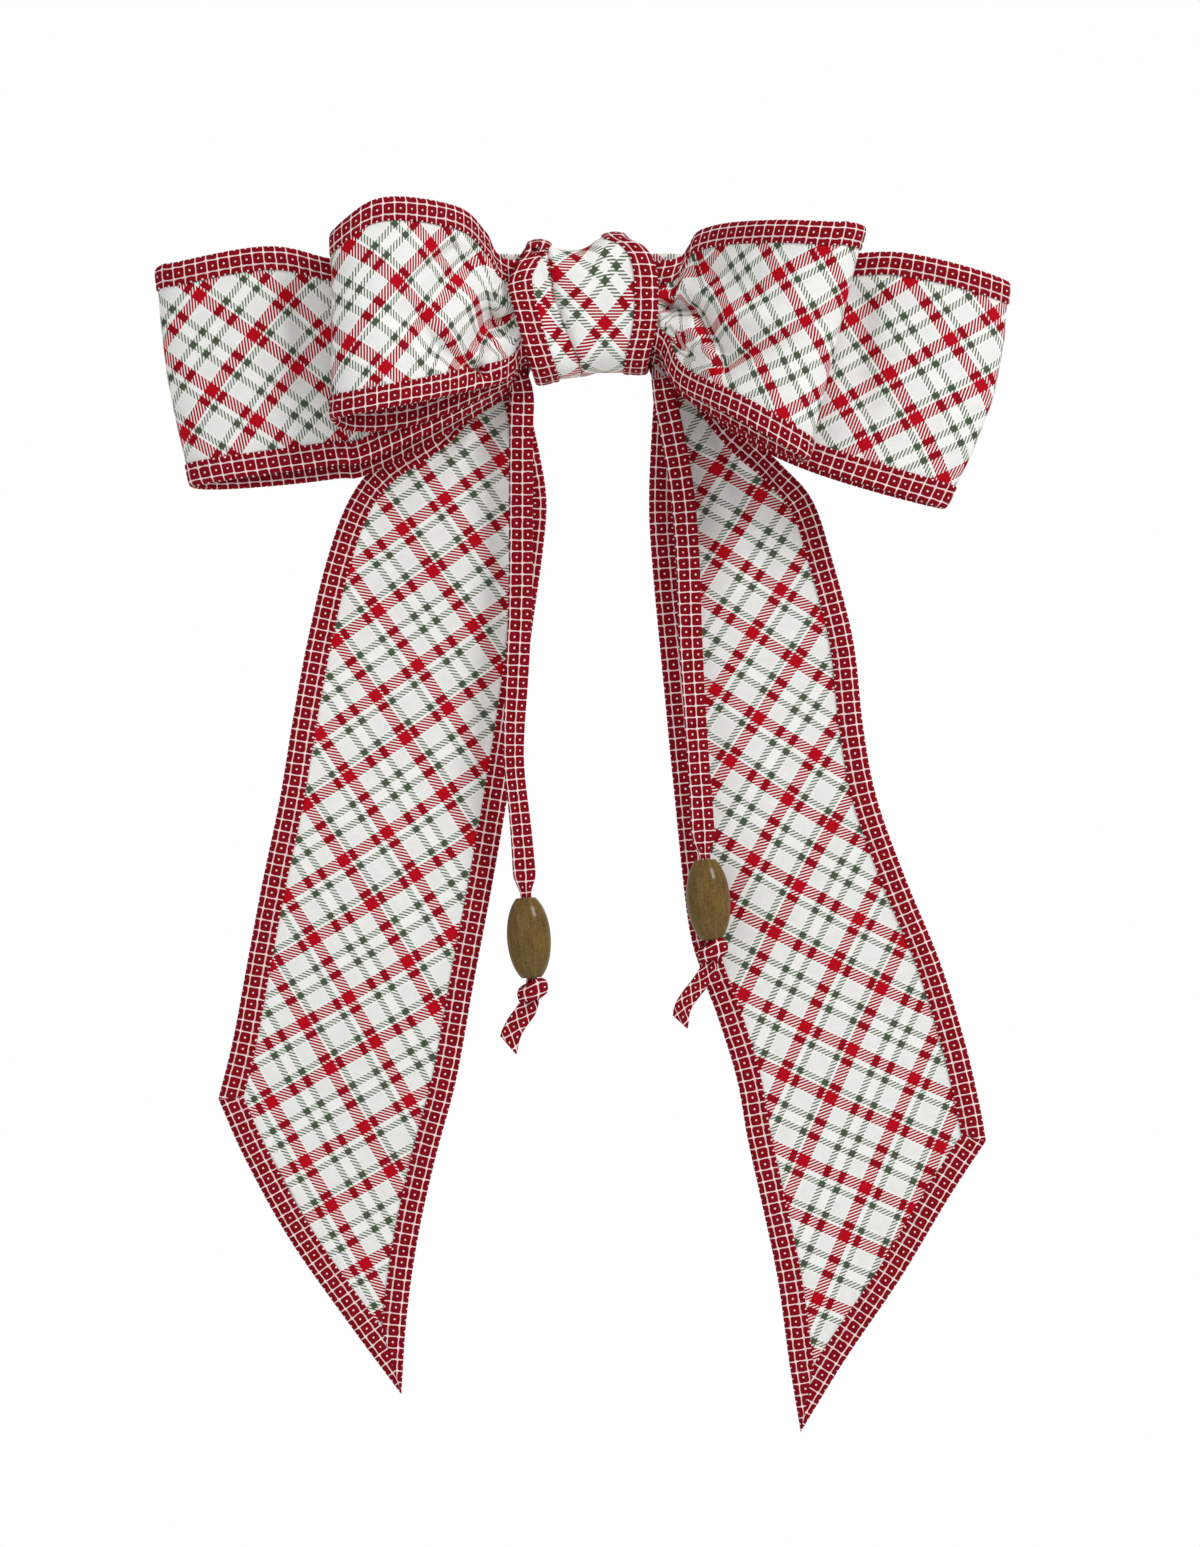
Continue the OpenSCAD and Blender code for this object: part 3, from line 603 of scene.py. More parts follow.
def make_tie(name, route, bead_top, slimness, body):
    """A tie from under the knot into its bead, in three pieces, and the centrelines of the first
    two. slimness is how much narrower it is where it is slimmest."""
    path = resample(smooth(route), 130)
    run = lengths_along(path)
    _, side, out = directions(path)
    above = path[:, 2] - bead_top[2]
    narrow = 1 - ease((above - BUNCHES_OVER[0]) / BUNCHES_OVER[1])
    top = 1 - ease(run / TOP_L)
    slim = slimness * np.exp(-((above - SLIM_AT) / SLIM_OVER) ** 2)
    half_w = (TIE_W * (1 - TOP_NARROW * top - slim) * (1 - narrow) + BUNCHED * narrow) / 2
    half_t = (TIE_T * (1 - TOP_THIN * top) * (1 - narrow) + BUNCHED * narrow) / 2
    s, t = TIE_SECTION.T
    pinch = PINCH * np.sin(narrow * math.pi)[:, None] * np.cos(s * 9.0)[None, :] * (t > 0)
    w = half_w[:, None] * s[None, :]
    h = half_t[:, None] * t[None, :] + pinch + w * TWIST * np.sin(run / TWIST_L)[:, None]
    rings = path[:, None] + side[:, None] * w[..., None] + out[:, None] * h[..., None]
    spread = np.where(t >= -0.5, s * TIE_W / 2 + 1.1, BACK_FACE - s * TIE_W / 2)
    uv = np.stack(np.broadcast_arrays(run[:, None], spread[None, :]), axis=-1)
    # what hangs free, what gathers as the bead slides up, and what the bead slides along
    gathers = int(np.argmax(above < GATHER_FROM))
    mouth = int(np.argmax(above < -MOUTH_IN))
    spans = (("", 0, gathers + 1, None), ("_gather", gathers, mouth + 1, None),
             ("_core", mouth + 1, len(path), body))
    pieces = [tube(name + part, rings[a:b], uv[a:b], tie_print, rides)
              for part, a, b, rides in spans]
    return pieces, (path[:gathers + 1], path[gathers:mouth + 1])


BEAD_L = 20.0
BEAD_D = 11.0
BEAD_END_D = 5.0
BEAD_BORE = 3.8
BEAD_TURNS = 48


def barrel_profile(length, d, end_d, steps=30):
    """Radius and height of an ellipse cut flat where its diameter is end_d."""
    u = -np.cos(np.linspace(0, math.pi, steps))
    radius = d / 2 * np.sqrt(1 - u * u * (1 - (end_d / d) ** 2))
    return np.stack([radius, (u + 1) / 2 * length], axis=1)


TO_VIEWER = np.array((0, -1.0, 0))


def sideways(up):
    """The direction across the way up, towards +X."""
    side = unit(np.cross(up, (0, 1, 0)))
    return side * np.sign(side[0])


def make_bead(name, top, up, body):
    """A wooden bead with a bore and rounded lips at its mouths."""
    bore, rim = BEAD_BORE / 2, BEAD_END_D / 2 - 0.25
    lip_low = [(rim, -0.02), (bore + 0.35, 0.0), (bore, 0.4)]
    lip_high = [(r, BEAD_L - z) for r, z in lip_low]
    profile = np.vstack([barrel_profile(BEAD_L, BEAD_D, BEAD_END_D), lip_high, lip_low[::-1]])
    angle = np.linspace(0, math.tau, BEAD_TURNS, endpoint=False)[:, None]
    around = sideways(up) * np.cos(angle) + TO_VIEWER * np.sin(angle)
    rings = top - up * BEAD_L + around[:, None] * profile[None, :, :1] + up * profile[None, :, 1:]
    # back and forth, so that the grain meets itself at the back
    round_uv = BEAD_D * np.abs(angle / math.pi - 1)
    uv = np.stack(np.broadcast_arrays(round_uv, profile[None, :, 1]), axis=-1)
    bead = tube(name, rings, uv, wood, body, closed=True)
    return bead


# Section of the band round a knot: share of its half width, share of its half thickness
BAND_SECTION = np.array([(-1, 0), (-0.8, 0.8), (-0.3, 1.0), (0.3, 1.0), (0.8, 0.8), (1, 0),
                         (0.8, -0.8), (0.3, -1.0), (-0.3, -1.0), (-0.8, -0.8)])
BAND_R, BAND_W, BAND_THICK = 2.55, 5.2, 1.1
BAND_TILT = 0.9  # how far one side of the band stands higher
BAND_TURNS = 48


def band_loop(name, centre, side, up, body):
    """A band of tape wrapped round the tie, its edges turned in."""
    w, t = BAND_SECTION.T
    crown = t * BAND_THICK / 2 + 0.45 * (1 - w ** 2)
    angles = np.linspace(0, math.tau, BAND_TURNS, endpoint=False)
    rings = []
    for angle in angles:
        away = side * math.cos(angle) + TO_VIEWER * math.sin(angle)
        belly = 1 + 0.16 * math.cos(2 * angle)
        squeeze = 1 - 0.28 * math.cos(angle + 0.5) ** 2
        middle = centre + away * BAND_R * belly + up * BAND_TILT * math.cos(angle)
        rings.append(middle + up * (w * BAND_W / 2 * squeeze)[:, None] + away * crown[:, None])
    spread = w * BAND_W / 2 + np.where(t < 0, 7, 0)
    uv = np.stack(np.broadcast_arrays(angles[:, None] * BAND_R, spread[None, :]), axis=-1)
    return tube(name, np.array(rings), uv, tie_print, body, closed=True)


KNOT_DROP = 2.3  # from the foot of a bead to the middle of its knot
END_ROOT = 1.5  # half width of a loose end inside the knot
END_PRINT_TURN = math.radians(38)  # the print lies on the slant on a loose end


def make_knot(name, foot, up, angles, length, width, slant, body):
    """The wrapped knot under a bead, and the loose end of the tie that hangs out of it.
    angles is its lean away from straight down at each step of its length."""
    centre = foot - up * KNOT_DROP
    knot = band_loop(name, centre, sideways(up), up, body)
    points = [foot + up * 0.5, centre - up * 1.0]
    step = length / len(angles)
    for angle in np.radians(angles):
        points.append(points[-1] + step * np.array((-math.sin(angle), -0.04, -math.cos(angle))))
    path = resample(smooth(points), 40)
    run = lengths_along(path)
    ahead, side, out = directions(path)
    share = run / run[-1]
    half_w = END_ROOT + (width / 2 - END_ROOT) * ease((share - 0.15) / 0.3)
    half_t = 1.1 - 0.45 * ease((share - 0.2) / 0.4)
    s, t = TIE_SECTION.T
    w = half_w[:, None] * s[None, :]
    curl = 0.5 * np.sin(share * 4.0)[:, None] * (s ** 2)[None, :]
    h = half_t[:, None] * t[None, :] + curl
    # cut on the slant: the end runs on further on one side
    cut = slant * ease((share - 0.75) / 0.25)[:, None] * s[None, :]
    rings = (path[:, None] + side[:, None] * w[..., None] + out[:, None] * h[..., None]
             + ahead[:, None] * cut[..., None])
    spread = np.where(t >= -0.5, s * 3 + 0.9, BACK_FACE - s * 3)
    uv = np.stack(np.broadcast_arrays(run[:, None], spread[None, :]), axis=-1)
    cosine, sine = math.cos(END_PRINT_TURN), math.sin(END_PRINT_TURN)
    uv = uv @ np.array([[cosine, sine], [-sine, cosine]])
    end = tube(name + "_end", rings, uv, tie_print, body)
    return knot, end


for hand, route, top, angles, length, width, slant, slimness in (
        ("left", LEFT_ROUTE, LEFT_BEAD_TOP, (20, 34, 36, 26, 14), 14.2, 5.0, 1.8, 0.16),
        ("right", RIGHT_ROUTE, RIGHT_BEAD_TOP, (20, 30, 38, 32, 10), 19.0, 4.2, 1.4, 0.08)):
    letter = hand[0]
    foot = np.array(route[-1], float)
    up = unit(top - foot)
    (tie, gather, core), (free, gathered) = make_tie(f"tie_{hand}_tape", route, top, slimness,
                                                     f"tie_{letter}")
    bead = make_bead(f"bead_{hand}_wood", top, up, f"bead_{letter}")
    knot, end = make_knot(f"tie_{hand}_knot_wrap", foot, up, angles, length, width, slant,
                          f"tie_{letter}")
    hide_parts(f"tie_{hand}")
    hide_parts(f"bead_{hand}")
    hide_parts(f"tie_{hand}_knot")
    pivot = np.array(route[1], float)
    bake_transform(tie)
    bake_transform(gather)
    for piece, line, on_it in ((tie, free, [gather, core, bead, knot, end]),
                               (gather, gathered, [core, bead, knot, end])):
        float(lengths_along(line)[-1]) * MM
        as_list(on_it)


# --- loops ---

LOOP_ROWS, LOOP_COLS = 190, 46
ROOT_X = 9.0  # the strip's ends under the wrap
SEEN_OVER = 9.0  # folds fade out over this length where a loop turns away
PLEAT_REACH = 13.0  # and pleats over this one away from the knot


class Loop:
    """A loop of the bow: it leaves the knot in front, turns at its fold and comes back behind.
    reach is the x of its turn, top and bottom are its edges as x and z, swing turns the loop in
    the plane of the bow and lean tips its back part down, both in degrees. A pleat is (waves over
    the width, depth, phase), and bulge is how far the turn stands out at shares of the width."""

    def __init__(self, hand, reach, neck_y, far_y, depth, swing, lean, top, bottom, folds,
                 pleats, bulge=(0, 0)):
        self.side = -1 if hand == "left" else 1
        self.reach, self.y0, self.y1, self.depth = reach, neck_y, far_y, depth
        self.swing, self.lean = math.radians(swing), math.tan(math.radians(lean))
        self.folds, self.pleats, self.bulge = folds, pleats, bulge
        theta = np.radians(np.linspace(0, 180, 361))
        u = np.sin(theta)
        facing = np.where(theta <= math.pi / 2, -1, 1)
        x = NECK_X + (reach - NECK_X) * u
        y = self.middle(u) + facing * self.half(u)
        start, end = (ROOT_X, y[0]), (ROOT_X, y[-1])
        plan = resample(np.vstack([start, np.stack([x, y], axis=1), end]), LOOP_ROWS)
        self.px, self.py = plan[:, 0], plan[:, 1]
        self.along = lengths_along(plan)
        fold_row = int(np.argmax(self.px))
        self.front = ease((self.along[fold_row] - self.along) / SEEN_OVER)
        self.high, self.low = self.meet(smooth(top)), self.meet(smooth(bottom))
        self.height = self.high - self.low

    def half(self, u):
        """Half the loop's depth at a share u of its reach."""
        u = np.clip(u, 0, 1)
        full = np.sin(np.pi / 2 * np.minimum(1, u / SWELL)) ** 1.5
        return (NECK_DEPTH + (self.depth - NECK_DEPTH) * full) / 2 * np.sqrt(1 - u ** 5)

    def middle(self, u):
        """Depth of the middle between its front and its back part."""
        return self.y0 + (self.y1 - self.y0) * np.sin(np.pi / 2 * u)

    def meet(self, line):
        """How far up each upright line of the loop meets an edge."""
        c, s = math.cos(self.swing), math.sin(self.swing)
        t = np.zeros(len(self.px))
        for _ in range(12):
            x = self.reach + (self.px - self.reach) * c + t * s
            u = np.clip((x - NECK_X) / (self.reach - NECK_X), 0, 1)
            front_y = self.middle(u) - self.half(u)
            z = np.interp(x, line[:, 0], line[:, 1]) - (self.py - front_y) * self.lean
            t = (z + (self.px - self.reach) * s) / c
        return t

    def at(self, share, pressed=True):
        """Points of the loop's middle surface; share is 0 at its lower and 1 at its upper edge.
        Without pressed it has no folds or pleats."""
        c, s = math.cos(self.swing), math.sin(self.swing)
        t = self.low[:, None] + self.height[:, None] * share
        px, py = self.px[:, None], self.py[:, None]
        x = self.reach + (px - self.reach) * c + t * s
        z = -(px - self.reach) * s + t * c
        # the fold stands out between the edges
        out = np.interp(share, np.linspace(0, 1, len(self.bulge)), self.bulge)
        x = x + out * np.clip((px - NECK_X) / (self.reach - NECK_X), 0, 1) ** 2
        y = py + 0 * x
        if pressed:
            y = y + self.front[:, None] * folded(x, z, self.folds)
            near = np.exp(-np.maximum(px - NECK_X, 0) / PLEAT_REACH) * ease((px - ROOT_X) / 8)
            for count, size, phase in self.pleats:
                y = y + size * near * np.sin(math.tau * count * share + phase)
        return np.stack([self.side * x, y, z], axis=-1)

    def cloth_uv(self, share):
        """Cloth coordinates along and up the loop, longer where folds take up cloth."""
        taken = [np.zeros(share.shape), np.zeros(share.shape)]
        for sign, grid in ((1, self.at(share)), (-1, self.at(share, pressed=False))):
            for axis in (0, 1):
                step = np.linalg.norm(np.diff(grid, axis=axis), axis=2)
                taken[axis] += sign * np.pad(np.cumsum(step, axis=axis), ((1 - axis, 0), (axis, 0)))
        turn, middle = int(np.argmax(self.px)), share.shape[1] // 2
        u = self.along[:, None] + taken[0] - taken[0][turn:turn + 1]
        v = (share - 0.5) * self.height[:, None] + taken[1] - taken[1][:, middle:middle + 1]
        return np.stack([u, v], axis=-1)

    def placed(self, share, height):
        """Points at a height above the middle surface, on its outer side."""
        step = 0.004
        here = self.at(share)
        along = np.gradient(here, axis=0)
        up = self.at(share + step) - self.at(share - step)
        return here - unit(np.cross(up, along) * self.side) * height

    def edge(self, upper):
        """A binding's place function for the upper or the lower edge."""
        def place(a, b):
            share = (1 - a / self.height) if upper else (a / self.height)
            return self.placed(share[:, None], b)[:, 0]
        return place

    def build(self, node, seen, target):
        """The panel and both bindings; the plaid's target point shows at seen, an x and a z."""
        inner = HEM / self.height[:, None]
        share = inner + (1 - 2 * inner) * np.linspace(0, 1, LOOP_COLS)[None, :]
        grid = self.at(share)
        uv = anchored(self.cloth_uv(share), grid, self.front > 0, seen, target,
                      ((self.side, 0), (0, 1)))
        panel = shell(node + "_cloth", grid, CLOTH_T, uv, plaid, "bow")
        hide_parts(node)
        pieces = []
        for name, upper in (("top", True), ("bottom", False)):
            place = self.edge(upper)
            along = lengths_along(place(0.0, 0.0))
            tape, stitches = binding(f"{node}_binding_{name}_tape", place, along, "bow")
            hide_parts(f"{node}_binding_{name}")
            pieces += [tape, stitches]


# Depth of the middle at the neck and at the turn, and full depth of the loop
OUTER = (-15.7, -23.0, 15.0)
INNER = (-23.0, -39.5, 17.0)

Loop("left", 106, *OUTER, 10, 12,
     [(0, 12), (22, 10), (45, 10), (64, 12.5), (82, 15.5), (115, 9)],
     [(0, -12.5), (16, -13), (21, -21), (53.5, -37.6), (64, -39.4), (90, -42.6), (115, -45.6)],
     folds=[([(74, 4), (71, -8), (72.5, -16)], 4.5, 1.9, 0.3),
            ([(60, 4), (62, -10), (64, -22)], 4.5, -0.8, 0.5)],
     pleats=[(3, 0.5, 0.6), (5, 0.25, 2.0)],
     bulge=(0.8, 1.8, 2.2, 1.4, 0)).build("outer_loop_left", (-83.7, -6.65), (0, 0))
Loop("right", 102, *OUTER, 15.7, 3,
     [(0, 12), (22, 10), (50, 12), (68, 14), (80, 13.7), (98, 9.3), (115, 2.4)],
     [(0, -12.5), (16, -13), (23, -21), (52, -38.5), (115, -57)],
     folds=[([(68, 0), (68, -10), (68, -23)], 4.2, 1.9, 0.3),
            ([(58, 6), (57, -6), (57, -20)], 4.0, -0.8, 0.5)],
     pleats=[(3, 0.5, 1.6), (5, 0.25, 0.4)],
     bulge=(0, 3.2, 4.6, 3.2, 0.2)).build("outer_loop_right", (89.8, -7.6), RED_CROSSING)
Loop("left", 63.8, *INNER, 0, 18,
     [(0, 12.5), (20.5, 12.5), (26, 19.2), (33, 25.2), (50, 27.2), (60, 22.4), (72, 9.8)],
     [(0, -12.5), (16, -13), (21, -18.2), (40, -23.2), (62, -27.6), (72, -29.6)],
     folds=[([(33.6, 15.2), (38.9, 11.6), (44.7, 6.3), (47.4, 3.6)], 1.3, 1.8, 0.5),
            ([(32, 11), (37, 7), (42.5, 2), (46, -1)], 3.4, 3.0, 0.5),
            ([(28.7, -15.2), (31.8, -13.8), (37.1, -10.7), (43.4, -2.7)], 2.2, 4.2, 0.5),
            ([(24.6, -1.8), (28.7, -8.9)], 2.6, 5.4, 0.3),
            ([(23.5, -9.5), (25, -14)], 2.4, -2.4, 0.2),
            ([(30, 2), (34.5, -3), (38, -6)], 2.6, -2.0, 0.3),
            ([(36, 21), (33, 17)], 2.4, -1.2, 0.3)],
     pleats=[(2.5, 0.6, 0.4), (4.5, 0.3, 1.5)]).build("inner_loop_left", (-47.9, 6.25), (0, 0))
Loop("right", 63, *INNER, 13.8, 6,
     [(0, 12), (21, 12.6), (28, 20.2), (44, 21.9), (75, 19.6)],
     [(0, -10), (16, -10.5), (22.5, -21), (39.5, -30), (75, -50)],
     folds=[([(20, 0.6), (27.1, -0.2), (33.4, -10.4)], 1.9, 4.6, 0.3),
            ([(33.8, -15.3), (40.5, -11.7), (47.2, -9), (53.9, -5), (57.9, -2.3)], 1.8, 3.4, 0.7),
            ([(19, -4), (24.5, -5), (28.5, -10), (30.5, -14)], 2.4, -2.8, 0.3),
            ([(27, 9), (36, 6), (46, 2)], 3.4, 1.8, 0.7),
            ([(35, -3), (44, -3), (54, 1)], 3.2, -1.8, 0.6)],
     pleats=[(2.5, 0.6, 2.0), (4.5, 0.3, 0.5)]
     ).build("inner_loop_right", (47.0, 7.95), RED_CROSSING)


# --- tails ---

# x and z of the outlines: outer edge, slanted cut and inner edge, all from the top down
LEFT_OUTER = [
    (-25, -14), (-28, -17), (-32, -20.5), (-39, -28.5), (-53, -38), (-60.5, -47.5), (-66, -62.5),
    (-70.8, -82.5), (-74.5, -102.5), (-77.8, -122.5), (-82, -142.5), (-85.8, -162.5),
    (-89.5, -182.5), (-93.2, -197.5)
]
LEFT_CUT = [(-93.2, -197.5), (-86.5, -212.5), (-75.5, -232.5), (-61.5, -252.5), (-47.3, -271.6)]
LEFT_INNER = [
    (-17.2, -14), (-16.6, -17), (-16, -20.5), (-12.6, -36), (-10.9, -47.5), (-11.8, -60),
    (-14.2, -77.5), (-17.2, -100), (-20.8, -122.5), (-25.2, -147.5), (-29, -167.5),
    (-33.5, -192.5), (-38.8, -212.5), (-43.2, -232.5), (-46, -252.5), (-47.3, -271.6)
]
RIGHT_OUTER = [
    (26, -14), (28.5, -17), (31, -20.5), (37, -28), (48, -38.5), (55.8, -47.5), (60.8, -62.5),
    (66, -82.5), (68.6, -105), (72, -122.5), (79.2, -142.5), (87.5, -162.5), (93.8, -182.5),
    (97.7, -199), (99.3, -208)
]
RIGHT_CUT = [(99.3, -208), (89.8, -222.5), (77.8, -242.5), (64.2, -262.5), (52.8, -281)]
RIGHT_INNER = [
    (16.2, -14), (16.1, -17), (16, -20.5), (14.8, -45), (15.5, -62.5), (18.8, -97.5), (21, -120),
    (24.5, -152.5), (28, -166), (32.2, -177.5), (36.8, -192.5), (39.5, -207.5), (42.8, -222.5),
    (47, -242.5), (50, -264), (52.8, -281)
]
CORNER_REACH = 18.0  # rows of a binding are close together this near a corner
OUTER_ROWS, CUT_ROWS, INNER_ROWS = 140, 50, 180
TAIL_ROWS, TAIL_COLS = 150, 40
DRAWN_ROWS = 12  # rows at the tip that are drawn back from it
DRAW_BACK = 3.5  # and how far
TUCK_Z, TUCK_OVER, TUCK_IN = -20.5, 4.0, 1.2  # height, length and depth of the step under the wrap


def close_at_ends(points, count):
    """Points along a curve, half of them near its ends."""
    run = lengths_along(points)
    near = np.linspace(0, CORNER_REACH, 25)
    at = np.unique(np.concatenate([np.linspace(0, run[-1], count), near, run[-1] - near]))
    at = at[np.concatenate([[True], np.diff(at) > 0.1])]
    at[-1] = run[-1]
    return np.stack([np.interp(at, run, points[:, k]) for k in range(2)], axis=1)


class Tail:
    """A hanging tail: gathered where it leaves the knot, and nearly flat below. grain is the angle
    of the cloth at distances down the tail, and the plaid's red crossing shows at seen. A wave is
    (turns across, turns down, height, phase)."""

    def __init__(self, hand, outer, cut, inner, grain, waves, gathers, seen):
        self.hand, self.side = hand, -1 if hand == "left" else 1
        self.outer, self.cut, self.inner = smooth(outer), smooth(cut), smooth(inner)
        self.grain, self.waves, self.gathers, self.seen = grain, waves, gathers, seen

    def cloth_uv(self, flat):
        """Cloth coordinates along and across the grain, which turns slowly down the tail."""
        z = np.arange(40.0, -320.0, -2.0)
        angle = np.radians(np.interp(-z, *np.array(self.grain, float).T))
        x = np.concatenate([[0], np.cumsum(np.tan(angle[1:]) * 2.0)])
        x += self.seen[0] - np.interp(-self.seen[1], -z, x)
        line = np.stack([x, z], axis=1)
        gap, share = distance_to(line, flat[..., 0], flat[..., 1])
        u = share * lengths_along(line)[-1]
        v = gap * np.sign(flat[..., 0] - np.interp(-flat[..., 1], -z, x))
        return np.stack([u, v], axis=-1)

    def depth(self, x, z):
        """Depth of the middle surface at x and z."""
        y = np.full(x.shape, TAIL_Y)
        y = y + folded(x, z, self.gathers)
        for across, down, size, phase in self.waves:
            y = y + size * ease((-z - 40) / 60) * np.sin(x * across + z * down + phase)
        tuck = ease((z - TUCK_Z) / TUCK_OVER)
        return y * (1 - tuck) + (TAIL_Y + TUCK_IN) * tuck

    def lift(self, flat, height):
        """Points of the XZ plane laid on the tail, at a height above it towards the viewer."""
        x, z = flat[..., 0], flat[..., 1]
        e = 0.2
        slope_x = (self.depth(x + e, z) - self.depth(x - e, z)) / (2 * e)
        slope_z = (self.depth(x, z + e) - self.depth(x, z - e)) / (2 * e)
        n = unit(np.stack([slope_x, -np.ones(x.shape), slope_z], axis=-1))
        return np.stack([x, self.depth(x, z), z], axis=-1) + n * height

    def build(self, node):
        """The panel, and its binding along both sides and the cut."""
        left, right = resample(self.outer, TAIL_ROWS), resample(self.inner, TAIL_ROWS)
        flat = self.inside(left, right)
        grid = self.lift(flat, 0.0)
        if self.side > 0:
            grid, flat = grid[:, ::-1], flat[:, ::-1]
        uv = anchored(self.cloth_uv(flat), grid, np.ones(TAIL_ROWS, bool), self.seen, RED_CROSSING,
                      ((0, -1), (1, 0)))
        panel = shell(node + "_cloth", grid, CLOTH_T, uv, plaid)
        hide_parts(node)
        line, inward, room = self.edge_line()

        def place(a, b):
            return self.lift(line + inward * (np.minimum(a, room) + 0.001 * a)[:, None], b)

        tape, stitches = binding(node + "_binding_tape", place, lengths_along(line), None,
                                 sewn=room > STITCH_IN)
        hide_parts(node + "_binding")
        for piece in (panel, tape, stitches):
            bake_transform(piece)
        outline = np.vstack([resample(self.outer, 400)[:-1], resample(self.cut, 160)[:-1],
                             resample(self.inner, 420)[::-1]])

    def inside(self, left, right):
        """A grid between two edges, drawn in from the outline so that it ends in the binding."""
        across = right - left
        size = np.linalg.norm(across, axis=1, keepdims=True)
        step = (across / size * np.minimum(HEM, size * 0.2))[:, None]
        share = np.linspace(0, 1, TAIL_COLS)[None, :, None]
        flat = (left[:, None] + step) * (1 - share) + (right[:, None] - step) * share
        pull = ease((np.arange(TAIL_ROWS) - (TAIL_ROWS - DRAWN_ROWS)) / (DRAWN_ROWS - 1.0))
        toward = unit(flat[-30].mean(axis=0) - flat)
        return flat + toward * pull[:, None, None] * DRAW_BACK

    def edge_line(self):
        """The outline from the top outer corner round to the top inner one, the way inwards from
        each point, and the room there before it meets the mitre of a corner."""
        parts = [close_at_ends(self.outer, OUTER_ROWS), close_at_ends(self.cut, CUT_ROWS),
                 close_at_ends(self.inner, INNER_ROWS)[::-1]]
        line = np.vstack([parts[0], parts[1][1:], parts[2][1:]])
        corners = (len(parts[0]) - 1, len(parts[0]) + len(parts[1]) - 2)
        ahead = unit(np.diff(line, axis=0))
        normal = np.stack([ahead[:, 1], -ahead[:, 0]], axis=1) * self.side
        before, after = np.vstack([normal[:1], normal]), np.vstack([normal, normal[-1:]])
        inward = (before + after) / (1 + np.sum(before * after, axis=1, keepdims=True))
        run = lengths_along(line)
        room = np.full(len(line), 1e3)
        for corner in corners:
            cosine = -ahead[corner - 1] @ ahead[corner]
            half_tan = math.sqrt((1 - cosine) / (1 + cosine))
            room = np.minimum(room, np.abs(run - run[corner]) * half_tan)
        return line, inward, room


Tail("left", LEFT_OUTER, LEFT_CUT, LEFT_INNER,
     grain=[(20, -11), (60, -9), (95, -9.5), (140, -12), (180, -15), (300, -15)],
     waves=[(0.05, 0.035, 1.1, 0.4), (-0.03, 0.06, 0.6, 1.7)],
     gathers=[([(-21, -16), (-28, -32), (-40, -52)], 2.6, 2.0, 0.9),
              ([(-19, -16), (-21, -34), (-24, -58)], 2.4, 1.6, 0.9),
              ([(-25, -16), (-38, -36), (-50, -46)], 2.6, 1.5, 0.9),
              ([(-24, -22), (-33, -38), (-43, -46)], 2.2, -1.5, 0.8)],
     seen=(-43.2, -88.7)).build("tail_left")
Tail("right", RIGHT_OUTER, RIGHT_CUT, RIGHT_INNER,
     grain=[(20, 16), (60, 12), (111, 11.6), (132, 15), (170, 19), (200, 21), (300, 22)],
     waves=[(0.05, -0.03, 1.2, 2.4), (-0.03, 0.05, 0.7, 0.3)],
     gathers=[([(20, -16), (26, -36), (30, -62)], 2.4, 2.4, 0.9),
              ([(24, -16), (36, -36), (44, -66)], 2.8, 2.4, 0.9),
              ([(28, -20), (46, -42), (54, -58)], 2.6, 1.8, 0.9),
              ([(22, -22), (31, -38), (37, -64)], 2.2, -1.8, 0.8),
              ([(27, -22), (41, -40), (50, -64)], 2.2, -1.4, 0.8)],
     seen=(56.4, -111.2)).build("tail_right")


FOLD_TOP = [(-22, 3), (-13, 8), (0, 10), (13, 8), (22, 3)]
FOLD_BOTTOM = [(-29, -23), (-20, -20.5), (0, -13), (20, -20.5), (29, -23)]
FOLD_ROWS, FOLD_COLS = 40, 70


def tail_fold():
    """The gathered middle of the tail strip, under the wrap."""
    low = smooth(FOLD_BOTTOM)
    low[:, 1] = np.where(np.abs(low[:, 0]) < 15, np.maximum(low[:, 1], -14), low[:, 1])
    top, bottom = resample(smooth(FOLD_TOP), FOLD_COLS), resample(low, FOLD_COLS)
    share = np.linspace(0, 1, FOLD_ROWS)[:, None, None]
    flat = top[None] * (1 - share) + bottom[None] * share
    x, z = flat[..., 0], flat[..., 1]
    y = FOLD_Y + 0.28 * np.sin(x * 1.3) * ease((4 - z) / 10)
    grid = np.stack([x, y, z], axis=-1)
    piece = shell("tail_fold_cloth", grid, CLOTH_T * 0.9, flat, plaid, "bow")
    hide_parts("tail_fold")


tail_fold()


# --- knot ---

BASE_Y = -7.0  # back face of the barrette's base at its middle
PLATE_T = 0.8
BASE_SAG = 3.6  # how far the base bows, between its ends
HALF_BASE = 38.0
BASE_R = (HALF_BASE ** 2 + BASE_SAG ** 2) / (2 * BASE_SAG)
BAND_GAP = 0.1
BAND_T = 1.2
BAND_HALF_L = 32.0
BAND_LOW, BAND_HIGH = -12.0, 14.5
BAND_COLS, BAND_ROWS = 110, 34


